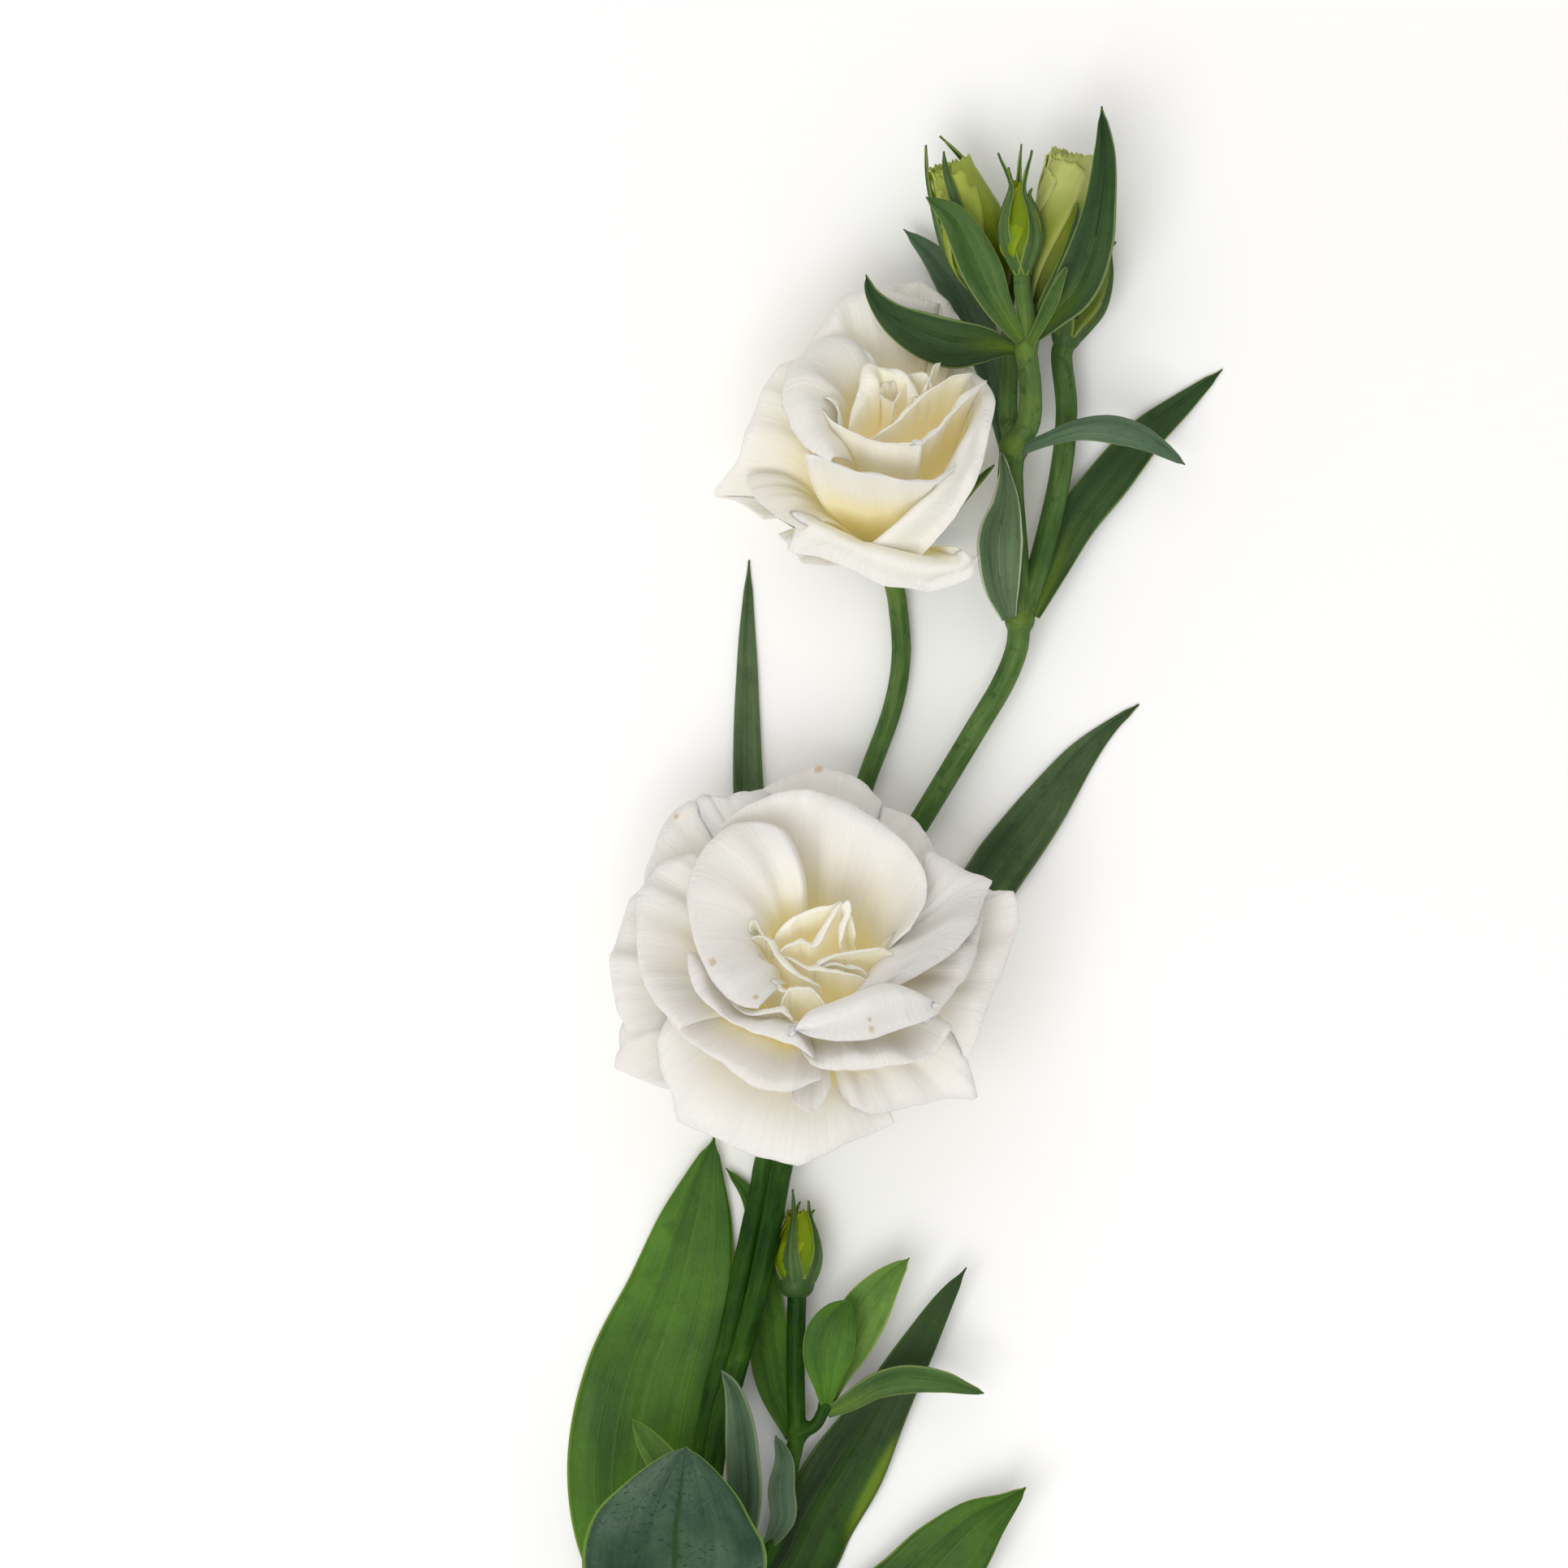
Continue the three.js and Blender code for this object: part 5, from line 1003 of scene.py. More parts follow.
# %% Leaf table
LEAVES = {
    "big_left_leaf": dict(finish="low", cup=0.05, ripple=0.4, groove=0.1, fold=3,
        rib=[(-17.4, -150, 1.6), (-23.2, -140.6, 1), (-25.4, -130, 0.5), (-25.6, -116.8, 0.28),
        (-23, -102.8, 0.5), (-18.2, -88.8, 0.9), (-15.3, -76.2, 1.4), (-13.6, -67.8, 2),
        (-12, -60.8, 3)], half_widths=[2, 7, 10.4, 11.8, 11.4, 9.4, 6.6, 3.4, 0.3]),
    "broad_front_leaf": dict(finish="front", cup=0.2, ripple=0.3, groove=0.2, fold=10,
        rib=[(-17, -149, 8), (-17.6, -146.6, 12.4), (-18.4, -142, 18), (-18.8, -135.6, 23.4),
        (-18.6, -128.7, 27.4), (-17.8, -122, 30.6), (-17.2, -116.8, 33), (-16.8, -113.5, 35)],
        half_widths=[2, 8, 13.6, 16, 15.2, 10.6, 5.2, 0.3]),
    "long_right_low_leaf": dict(finish="dark", cup=0.16, ripple=0.3, lean=-14, fold=12,
        rib=[(-15, -149.4, 3.4), (-7.4, -144.4, 2.6), (1.3, -135.2, 2.2), (5.6, -126.6, 2.2),
        (11.1, -117.2, 2.6), (16.9, -107.4, 3.4), (22.4, -97.9, 4.6), (27.2, -89.6, 6),
        (31.4, -83.3, 8)], half_widths=[1.6, 4, 6.6, 7, 6.8, 4.8, 3.4, 1.9, 0.3]),
    "low_right_leaf": dict(finish="side", cup=0.14, ripple=0.3, lean=-10, fold=10,
        rib=[(-14, -152.4, 3.6), (-2, -151.2, 3), (10, -147.2, 3), (20.7, -140.6, 4), (27.8, -133.4, 6),
        (33.4, -127.6, 8), (38.4, -123.8, 10.5), (41.6, -121.1, 13)],
        half_widths=[1.4, 4.2, 6.6, 7.9, 7.2, 5, 2.1, 0.3]),
    "small_light_leaf": dict(finish="light", cup=0.1, ripple=0.15, lean=12, fold=12,
        rib=[(-17.4, -147, 8.6), (-18.2, -136, 10.6), (-18.8, -126, 11.4), (-20, -118.4, 12),
        (-23.2, -113.4, 12.2), (-26.2, -109.2, 12)], half_widths=[1.2, 2, 2.4, 3, 2.2, 0.3]),
    "curled_leaf": dict(finish="soft", cup=0.0, ripple=0.2, lean=16, fold=42, rib=[(-13.6, -148, 5.4),
        (-8.6, -136, 10.6), (-6.2, -124, 15.4), (-6.4, -116, 18.4), (-7.2, -109, 20.6),
        (-8.6, -103.9, 21.8), (-10.8, -100.8, 21.6)], half_widths=[1.4, 2.8, 4, 4, 3.2, 1.9, 0.3]),
    "leaf_behind_pedicel": dict(finish="low", cup=0.05, ripple=0.15, fold=16, rib=[(1.6, -112.6, 5.6),
        (-1.6, -103, 3.2), (-3, -92, 2), (-3.8, -81, 1.3), (-5.6, -72, 1.2), (-10, -66.2, 1.6)],
        half_widths=[1.4, 3.4, 3.4, 2.2, 1.6, 0.3]),
    "sheath_leaf": dict(finish="soft", cup=0.0, ripple=0.1, fold=24, rib=[(-2.6, -131, 7),
        (-0.2, -126.4, 9.4), (-0.4, -121.6, 10.2), (0, -116.4, 10.2), (-1.4, -112.2, 9.8)],
        half_widths=[1, 2.3, 2.5, 1.7, 0.3]),
    "oval_leaf": dict(finish="low", cup=0.15, ripple=0.1, fold=12, rib=[(7.2, -107, 9.4),
        (7.3, -103.6, 10.8), (7.4, -99.4, 12), (8, -95.2, 12.8), (9.5, -91.6, 13), (11.6, -88.8, 12.6)],
        half_widths=[0.9, 2.3, 4.1, 4.5, 3.2, 0.3]),
    "pointed_leaf": dict(finish="light", cup=0.12, ripple=0.15, lean=6, fold=14, rib=[(7.6, -107, 8),
        (9.2, -101.4, 7.6), (11.2, -96.6, 7.8), (14.2, -90.6, 8.6), (17.6, -85.8, 9.8),
        (21.6, -81.6, 11.2)], half_widths=[0.9, 2.6, 4, 4.3, 2.8, 0.3]),
    "arched_leaf": dict(finish="bright", cup=0.1, ripple=0.12, lean=-24, fold=14,
        rib=[(7.4, -108.4, 8.4), (11.1, -106.4, 10), (16, -103.5, 11.8), (21.6, -102.3, 12.6),
        (27.2, -102.8, 12.2), (31.4, -104, 10.8), (34.4, -104.9, 9)],
        half_widths=[0.9, 1.8, 2.5, 2.7, 2.1, 1.1, 0.3]),
    "narrow_left_leaf": dict(finish="narrow", cup=0.0, ripple=0.15, fold=16, rib=[(4, -37, 2.8),
        (-1.6, -30, 2), (-4.6, -18.8, 1.3), (-6.1, -1.3, 0.9), (-6.4, 20.4, 0.5), (-6, 38.6, 0.3)],
        half_widths=[1.6, 2.2, 2.7, 2.7, 1.8, 0.3]),
    "right_fork_leaf": dict(finish="grey", cup=0.08, ripple=0.25, fold=9, rib=[(5.6, -37, 2.8),
        (18.8, -30, 1.8), (32.2, -20.4, 1), (38.4, -12.5, 0.9), (44.7, -4.1, 0.8), (50.7, 4.1, 0.6),
        (56, 9.6, 0.45), (61.2, 13.7, 0.35)], half_widths=[1.4, 3.2, 4.6, 4.9, 4.2, 2.8, 1.3, 0.3]),
    "folded_leaf": dict(finish="pale", cup=0.1, ripple=0.25, groove=0.12, lean=-14, fold=18,
        rib=[(38.6, 28.6, 11.4), (37.2, 35, 14.4), (37, 42, 15.6), (38, 48.4, 15.4), (38, 53.3, 14.8),
        (37.3, 57.2, 14.6)], half_widths=[1.4, 3.5, 4.2, 2.6, 1.1, 0.3]),
    "long_right_leaf": dict(finish="upper", cup=0.08, ripple=0.2, fold=12, rib=[(43, 29, 8),
        (46.8, 37.2, 5.4), (50.6, 45.6, 3.6), (56.2, 52.8, 2.4), (62.4, 60.2, 1.4), (68.7, 65.6, 0.7),
        (75.6, 71.5, 0.35)], half_widths=[1.2, 2.4, 3.7, 3.9, 3.2, 2, 0.3]),
    "arched_upper_leaf": dict(finish="soft", cup=0.1, ripple=0.12, lean=18, fold=-8,
        rib=[(41, 57.6, 12.4), (45.4, 59.4, 13.6), (50.4, 61, 14.4), (56, 61.2, 14.2), (61, 60, 13),
        (65.6, 57.5, 11), (69, 55, 9)], half_widths=[1, 1.2, 1.9, 2.5, 2.3, 1.3, 0.3]),
    "back_left_leaf": dict(finish="soft", cup=0.06, ripple=0.12, fold=14, rib=[(38.4, 57.6, 8),
        (37, 65.2, 5), (35.6, 71.5, 4), (33.2, 78.5, 3.5), (29.8, 85.5, 3.4), (25.6, 91.1, 4),
        (20.6, 95.6, 5.4)], half_widths=[1.3, 2.1, 2.6, 3.4, 3.4, 2.1, 0.3]),
    "left_crown_leaf": dict(finish="upper", cup=0.1, ripple=0.15, lean=14, fold=20,
        rib=[(40.2, 74.8, 14.2), (37.6, 75.4, 16), (33.4, 75.7, 18.8), (28.8, 75.9, 20.2),
        (23.7, 77.6, 20.4), (18.8, 80.3, 20.6), (15.3, 84.1, 21.2), (14.1, 87.5, 22)],
        half_widths=[1.1, 2, 3.6, 4.6, 4.2, 2.8, 1.3, 0.3]),
    "mid_crown_leaf": dict(finish="bright", cup=0.1, ripple=0.12, lean=-8, fold=16,
        rib=[(40.8, 76.2, 16.2), (36.8, 82.2, 19.6), (33.6, 89, 20.6), (29.4, 97, 20.4),
        (24.4, 100.9, 19.6)], half_widths=[1.1, 2.6, 3.7, 2.6, 0.3]),
    "young_crown_leaf": dict(finish="bright", cup=0.0, ripple=0.05, fold=18, rib=[(42.4, 75.8, 16.8),
        (45.6, 82.2, 21.6), (47.2, 86, 23.4), (48.6, 88.9, 24.4)], half_widths=[0.8, 1.3, 1, 0.3]),
    "right_crown_leaf": dict(finish="upper", cup=0.1, ripple=0.15, lean=12, fold=24,
        rib=[(42.6, 76.4, 15.4), (46.5, 80.6, 18.2), (50.3, 85.5, 20.6), (53.1, 92.5, 22),
        (54.6, 100.2, 22.4), (55.2, 108.6, 22), (54.6, 116.5, 21)],
        half_widths=[1, 2.6, 4.3, 4.1, 3, 2, 0.3]),
}
print("leaves:", len(LEAVES))

# %% Grow the leaves
LEAF_WALL = 0.42
LEAF_ROWS, LEAF_COLUMNS = 90, 22
LOW_LEAVES = 11
PHASE_STEP = 1.7
NARROWEST = 0.06


def blade(name, rib, half_widths, finish, lean=0, fold=0, cup=0.1, ripple=0.1, phase=0.0, groove=0.05,
          face=(0, 0, 1), rows=LEAF_ROWS, columns=LEAF_COLUMNS, wall=LEAF_WALL):
    """A leaf or sepal grown along its rib, and rounded off at its tip."""
    t = np.linspace(0, 1, rows)
    radii = np.maximum(through(half_widths, t)[:, 0] * np.minimum(1, 0.15 + (1 - t) * 16), NARROWEST)
    path = curve_object(name + "_rib", through(rib, t), radii)
    piece = BLADE.grow(name, thickness=wall, rib=path, rows=rows, columns=columns,
                       face=[float(v) for v in face], lean=math.radians(lean), fold=math.radians(fold),
                       cup=float(cup), ripple=ripple * MM, phase=float(phase), groove=groove * MM,
                       material=finish)
    bpy.data.objects.remove(path)
    return piece


for number, (name, leaf) in enumerate(LEAVES.items()):
    green = GREENS[leaf["finish"]]
    piece = blade(name + "_fine", phase=number * PHASE_STEP, **{**leaf, "finish": green})
    settle(piece, "lower_leaves" if number < LOW_LEAVES else "upper_leaves", name)

# %% [markdown]
# Buds and calyxes
# A lisianthus bud is furled like an umbrella: each petal overlaps the next and the whole turns about its
# axis. The same sheets make it, only wound round an axis instead of laid open. Below sits a cup, turned
# like a pot, with long narrow sepals that lie against the petals; those are blades from the leaf tree.
# The table keeps each bud's foot and top, its radius at even steps from the one to the other, and each
# sepal's angle round the axis and the place of its tip.

# %% Bud table
BUDS = {
    "bud_a": dict(base=(37.4, 82.6, 10.4), top=(28.3, 107, 13.4), girth=[1.6, 4.2, 5.3, 5.2, 4.4, 3.5],
        sepals=[(356, 24.4, 110, 13), (76, 27.5, 108.8, 17), (230, 26.8, 111.6, 10),
        (164, 37.4, 98.6, 10.6), (300, 27, 101, 7.4)]),
    "bud_b": dict(base=(40.8, 89.4, 20.6), top=(40.2, 103.4, 22.4), girth=[1.5, 3, 3.3, 2.7, 1.6, 0.6],
        sepals=[(34, 36.8, 108.4, 24.6), (138, 42.6, 108.9, 24.6), (194, 42.6, 102.4, 20.4),
        (266, 40.8, 110, 21.4), (338, 38.6, 106, 21.4)]),
    "bud_c": dict(base=(43.8, 81.8, 13.6), top=(49.3, 108.8, 15.4), girth=[1.6, 3.2, 4, 4.2, 4, 3.5],
        sepals=[(134, 50.4, 99.8, 19.6), (290, 44.6, 101, 10.6), (196, 52, 101.6, 14)]),
    "bud_d": dict(base=(48.8, 77.6, 6), top=(53.4, 98, 6.4), girth=[2.2, 4.4, 4.9, 4.4, 3.2, 1.9],
        sepals=[(172, 57.2, 93.4, 7.4), (56, 49.4, 93.4, 11), (350, 47, 95, 6), (300, 49, 96, 3.4),
        (236, 55, 97, 3.4)]),
    "bud_e": dict(base=(2.2, -85.8, 6.2), top=(2.3, -73.6, 5.6), girth=[2.6, 3.6, 3.8, 3.4, 2.6, 1.7],
        sepals=[(76, 1.5, -69.8, 8.4), (150, 4.2, -71.8, 7.4), (206, 5.2, -73.4, 5.2),
        (280, 2.8, -72, 2.8), (356, -0.2, -72.6, 4.6)]),
}


def bud_axis(bud):
    """A bud's axis, with its right side level, and the bud's length."""
    span = np.subtract(bud["top"], bud["base"])
    axis = unit(span)
    return Axis(bud["base"], axis, unit(np.cross((0, 0, 1), axis))), float(np.linalg.norm(span))


print("bud lengths:", {name: round(bud_axis(bud)[1], 1) for name, bud in BUDS.items()})

# %% Bud petals
BUD_ROWS, BUD_COLUMNS = 34, 24
BUD_THICKNESS = 0.3
FURL_SPAN = 150
FURL_WIND = 95
FURLED_LAYERS = [(1.0, (0, 2.6, 0.6, 3.6, 1.6)), (0.86, (0.4, 1.4, 0, 0.9)), (0.66, (0.5, 1.2, 0.2, 0.9)),
                 (0.45, (0.8, 0.2, 1.2)), (0.25, (0.6, 1.3))]


def bud_sheet(axis, length, girth, turn, share, seed, drop):
    """One furled petal: its outer edge rides over the next, and its rim is ragged and lips outward."""
    s, t = np.linspace(0, 1, BUD_COLUMNS)[None], np.linspace(0, 1, BUD_ROWS)[:, None]
    ragged = 0.55 * wander(s[0], seed, 9, 5)[None]
    round_rim = -2.2 * (2 * s - 1) ** 4
    height = t * (length - drop) + (ragged + round_rim) * t**5
    lap = 1 + 0.2 * (s - 0.6)
    lip = 0.9 * np.clip(t - 0.93, 0, 1) / 0.07 * (0.5 + 0.5 * wander(s[0], seed + 1, 5)[None])
    waver = 0.05 * wander(s[0], seed + 2, 4)[None] * np.sin(math.pi * t)
    radius = share * through(girth, t[:, 0]) * (lap + waver) + share * 0.45 * lip
    angle = turn + (s - 0.5) * FURL_SPAN + FURL_WIND * t
    return axis.spoke(angle, radius, height * np.ones_like(s))


def bud_piece(name, bud, material, seed):
    """Five layers of furled petals, each layer narrower than the last; drop says how far a petal falls
    short of the bud's top."""
    axis, length = bud_axis(bud)
    along, across = np.linspace(0, 1, BUD_ROWS)[:, None], np.linspace(0, 1, BUD_COLUMNS)
    pile, number = Sheets(), 0
    for share, drops in FURLED_LAYERS:
        for k, drop in enumerate(drops):
            number += 1
            turn = 360 * k / len(drops) + share * 50
            grid = bud_sheet(axis, length, bud["girth"], turn, share, seed + SEED_STEP * number, drop)
            pile.add(grid, BUD_THICKNESS, along, across, (0.37 * number) % 1)
    return pile.build(name, material)


print("furled petals in a bud:", sum(len(drops) for share, drops in FURLED_LAYERS))

# %% [markdown]
# The buds' finish
# The furled petals are still green: olive in the shade of the sepals, lime along the middle, and pale at
# the edges that unfurl first. The bud at the right has one tiny black dot on it.

# %% Bud green
DOT = (0.012, 0.010, 0.008)


def bud_finish(name, deep, body, rim, dot=None):
    look = Finish(name, Subsurface_Weight=0.25, Subsurface_Radius=(0.7, 0.9, 0.3), Subsurface_Scale=0.0008,
                  Specular_IOR_Level=0.2)
    along, across, tone = look.attributes("along", "across", "tone")
    point = look.point()
    fine = look.streaks(across * 60, along * 4, tone * 40, 4, 0.6)
    cloud = look.noise(point, 220, 3)
    edge = across.ramp(0.86, 1.0) * 0.7 + along.ramp(0.9, 1.0) * 0.6
    share = along + (cloud - 0.5) * 0.35 + (tone - 0.5) * 0.2
    colour = look.ramp(share, (0.0, deep), (0.55, body), (1.0, rim))
    colour = look.mix(edge, colour, rim)
    # Each furled petal is darker on the side that lies under the next one: painted shade.
    colour = look.darken(colour, 0.8 + (across + cloud * 0.2).ramp(0.3, 0.75) * 0.25)
    colour = look.darken(colour, 0.84 + fine * 0.28)
    if dot:
        colour = look.mix((1 - look.reach(point, dot).ramp(0.3, 0.5)) * 0.95, colour, DOT)
    look.feed("Base Color", colour)
    look.feed("Roughness", 0.48 + fine * 0.14)
    look.bump(fine + cloud * 0.8, 0.14, 0.6)
    return look.material


FRESH_BUD = bud_finish("bud_fresh", (0.045, 0.085, 0.001), (0.17, 0.235, 0.008), (0.36, 0.43, 0.07))
LIME_BUD = bud_finish("bud_lime", (0.085, 0.155, 0.0), (0.165, 0.255, 0.0), (0.27, 0.335, 0.004))
SOFT_BUD = bud_finish("bud_soft", (0.035, 0.055, 0.002), (0.22, 0.27, 0.020), (0.46, 0.50, 0.15))
# Bud D wears the fresh bud's greens, darker all over as painted shade, with its black dot.
SHADY_BUD = bud_finish("bud_shady", (0.030, 0.056, 0.001), (0.115, 0.165, 0.006), (0.28, 0.34, 0.05),
                       dot=(50.4, 80.4))
BUD_FINISHES = {"bud_a": FRESH_BUD, "bud_b": LIME_BUD, "bud_c": SOFT_BUD, "bud_d": SHADY_BUD,
                "bud_e": LIME_BUD}
BUD_SEED, BUD_SEED_STEP = 2000, 300
for number, (name, bud) in enumerate(BUDS.items()):
    seed = BUD_SEED + BUD_SEED_STEP * number
    settle(bud_piece(name + "_petals_fine", bud, BUD_FINISHES[name], seed), "bud_petals", name + "_petals")

# %% [markdown]
# Cups and sepals
# Under each bud and bloom sits a small green cup that carries a few long, narrow sepals. The cup is a
# profile turned about the axis, as a potter would throw it, so it meets its stalk in line. Each sepal is
# a blade from the leaf tree. On a bud it follows the swell of the petals with its face turned away from
# them; under a bloom it sags a little on its way out.

# %% A turned cup
def pot(name, axis, profile, finish, sides=40, rings=26):
    """A closed cup: a smooth profile of (radius, height) turned about an axis."""
    line = through(profile, np.linspace(0, 1, rings))
    turns = np.arange(sides) * 360 / sides
    rows = [axis.spoke(turns, np.full(sides, r), np.full(sides, h)) for r, h in line]
    ends = [axis.spoke(0, 0.0, line[k, 1])[None] for k in (0, -1)]
    points = np.vstack([*rows, *ends])
    faces = []
    for i in range(rings - 1):
        for j in range(sides):
            a, b = i * sides + j, i * sides + (j + 1) % sides
            faces.append((a, b, b + sides, a + sides))
    last = rings * sides
    faces += [(last, (j + 1) % sides, j) for j in range(sides)]
    faces += [(last + 1, last - sides + j, last - sides + (j + 1) % sides) for j in range(sides)]
    along = np.append(np.repeat(np.linspace(0, 0.1, rings), sides), [0, 0.1])
    return mesh_piece(name, points, faces, finish, along=along, across=np.full(len(points), 0.27))


BLOOM_CUP = [(0.4, -3), (1.9, -3), (2.5, -2.4), (3, -1.5), (3.5, -0.5), (3.6, 0), (0.4, 0)]
print("a bloom's cup is", max(radius for radius, _ in BLOOM_CUP) * 2, "mm across")

# %% Sepals
SEPAL_GREEN = leaf_finish("sepal_green", (0.022, 0.062, 0.010), (0.082, 0.155, 0.032), (0.12, 0.21, 0.04),
                          (0.21, 0.30, 0.04), rib_share=0.4, wax_and_sheen=0.15, edge=0.2)
COMMON_WIDTHS = [1.5, 2.1, 1.9, 1.5, 1, 0.6, 0.12]
SEPAL_WIDTHS = {"bud_b": [1.7, 2.2, 2.1, 1.5, 0.9, 0.5, 0.12], "bud_d": [1.9, 2.9, 2.6, 1.8, 1.1, 0.6, 0.15],
                "bud_e": [1.6, 2.1, 1.7, 1.1, 0.7, 0.4, 0.12]}
BLOOM_SEPALS = {
    "lower_bloom": [(288, 10, -57, 25), (340, 21, -44, 16), (48, 17, -28, 8.6), (146, -9.6, -28, 9),
                    (208, -13, -46, 17)],
    "upper_bloom": [(26, 36.2, 55, 5.4), (72, 27, 60, 0.6), (118, 9, 60.6, 0.6), (196, -1, 46, 7.6),
                    (338, 31, 39.6, 11)],
}
BLOOM_SEPAL_WIDTHS = [1.5, 1.9, 1.2, 0.25]
print("sepals on the buds:", sum(len(bud["sepals"]) for bud in BUDS.values()))
print("sepals under the blooms:", sum(len(sepals) for sepals in BLOOM_SEPALS.values()))

# %% A cup and its sepals
SEPAL_GRID = dict(rows=44, columns=12, wall=0.4)


def bud_calyx(name, bud, widths, finish):
    """A cup round a bud's foot, and sepals that stand a little off its girth up to their own tips."""
    axis, length = bud_axis(bud)
    foot = bud["girth"][0]
    profile = [(0.2, -3.1), (1.2, -3.0), (foot * 0.62, -2.7), (foot * 0.92, -2.1), (foot + 0.3, -1.2),
               (foot + 0.5, 0), (foot + 0.45, 0.8), (foot + 0.1, 1.1), (0.3, 0.5)]
    pieces = [pot(name, axis, profile, finish)]
    for k, (turn, *tip) in enumerate(bud["sepals"]):
        start = axis.spoke(turn, foot * 0.7, -2.2)
        reach = min(1.0, 0.96 * float((np.array(tip) - axis.base) @ axis.axis) / length)
        shares = np.array([0.1, 0.3, 0.5, 0.72, 0.95]) * reach
        radii = through(bud["girth"], shares)[:, 0] * 1.04 + 0.5
        rib = [start, *axis.spoke(np.full(len(shares), turn), radii, shares * length), tip]
        pieces.append(blade(f"{name}_{k}", rib, widths, finish, fold=-22, ripple=0.06, phase=k * 2.3,
                            groove=-0.25, face=axis.away(turn), **SEPAL_GRID))
    return joined(pieces)


def bloom_calyx(name, axis, sepals, finish):
    """A cup under a bloom, and sepals that reach out from it and sag."""
    pieces = [pot(name, axis, BLOOM_CUP, finish)]
    for k, (turn, *tip) in enumerate(sepals):
        start = axis.spoke(turn, 1.8, -1.5)
        sag = [start + (np.array(tip) - start) * share - low * axis.axis
               for share, low in ((0.35, 0.8), (0.7, 0.6))]
        pieces.append(blade(f"{name}_{k}", [start, *sag, tip], BLOOM_SEPAL_WIDTHS, finish, fold=20, cup=0.0,
                            phase=k * 1.9, groove=0.1, face=axis.axis, **SEPAL_GRID))
    return joined(pieces)


print("a sepal's grid:", SEPAL_GRID["rows"], "by", SEPAL_GRID["columns"], "points")

# %% Put a calyx under every bud and bloom
for name, bud in BUDS.items():
    calyx = bud_calyx(name + "_calyx_fine", bud, SEPAL_WIDTHS.get(name, COMMON_WIDTHS), SEPAL_GREEN)
    settle(calyx, "sepals", name + "_calyx")
for name, sepals in BLOOM_SEPALS.items():
    calyx = bloom_calyx(name + "_calyx_fine", BLOOMS[name], sepals, SEPAL_GREEN)
    settle(calyx, "sepals", name + "_calyx")

# %% [markdown]
# Stems
# Every stem and pedicel is a path with a radius, so a second tree sweeps a circle along each of them.
# Where they fork the plant swells, and a row of pipes pushed into each other would show its seams. The
# sweeps and the round nodes are therefore melted together by remeshing them into one skin. Three stems
# only lie close to a neighbour, and would grow together with it; they get a skin of their own. The table
# keeps each stem's path, its radius at either end and the bud or bloom that it carries, and then each
# node's place and radius.

# %% The rod's tree
def rod_recipe():
    tree = Recipe("rod")
    rib, sides, material = tree.inputs(Rib="Object", Sides="Int", Material="Material")
    ring = tree.node("GeometryNodeCurvePrimitiveCircle", sockets={"Resolution": sides, "Radius": 1.0})
    sockets = {"Curve": tree.path_along(rib), "Profile Curve": ring,
               "Scale": tree.node("GeometryNodeInputRadius"), "Fill Caps": True}
    tree.finish(tree.node("GeometryNodeCurveToMesh", sockets=sockets), material)
    return tree


ROD = rod_recipe()
print("rod tree:", len(ROD.tree.nodes), "nodes")

# %% Stem table
STEMS = {
    "back": ([(-21, -190, 2.4), (-20, -170, 2.2), (-16.6, -149, 4), (-13.2, -112.6, 4.6), (-9.2, -94.4, 5),
        (-6.4, -81, 4.8), (-4, -70, 4.4), (-2.6, -63, 4), (4.8, -37, 3.4)], (2.3, 1.95), None),
    "lower_pedicel": ([(-16.6, -149, 5), (-11.4, -112.6, 8.4), (-8.8, -102.8, 8.8), (-4.8, -88.3, 8.8),
        (-2.3, -76.2, 8.2), (-0.2, -65.2, 7.2), (2.6, -53, 6.8)], (1.95, 1.9), "lower_bloom"),
    "main": ([(4.8, -37, 3.4), (14, -21.4, 3.6), (23.1, -7, 4), (32.9, 9.2, 5), (37.5, 16.9, 5.8),
        (40, 23, 6.8), (40.6, 28.1, 8)], (1.95, 2), None),
    "upper_pedicel": ([(4.8, -37, 3.4), (9, -16, 3.2), (14, 0.1, 2.8), (18.6, 12.7, 2.4), (20.2, 22, 2.3),
        (19.6, 31, 2.5)], (1.75, 1.7), "upper_bloom"),
    "stem_a": ([(40.6, 28.1, 8), (39.8, 40, 8.8), (39, 52, 9.6), (39.4, 58.4, 10.4)], (2.4, 2.2), None),
    "node_3_stem": ([(39.4, 58.4, 10.4), (42, 62, 11.8), (42.4, 68, 12.8), (41.6, 75.4, 14)],
        (2.2, 1.9), None),
    "bud_a_pedicel": ([(39.4, 58.4, 10.4), (38.6, 64, 9), (38.8, 72, 8.6)], (1.8, 1.5), "bud_a"),
    "bud_b_pedicel": ([(41.6, 75.4, 14), (41.8, 79.4, 16.4)], (1.6, 1.5), "bud_b"),
    "bud_c_pedicel": ([(41.4, 72.6, 13.4), (41.9, 74.8, 13.4)], (1.7, 1.4), "bud_c"),
    "stem_b": ([(40.6, 28.1, 8), (43.6, 36.5, 7.2), (47.4, 52, 6), (48.7, 64, 5.8)], (2, 1.9), "bud_d"),
    "twig": ([(-16.6, -149, 5), (-7, -139.4, 5.8), (-1.4, -129.4, 6.4), (0.4, -121, 6.8), (2.3, -112, 7)],
        (1.7, 1.5), None),
    "bud_e_pedicel": ([(2.3, -112, 7), (2, -102, 6.8)], (1.6, 1.7), "bud_e"),
    "side_twig": ([(2.3, -112, 7), (5.4, -110.4, 7.8), (7.2, -107, 8.6)], (1.2, 1.1), None),
}
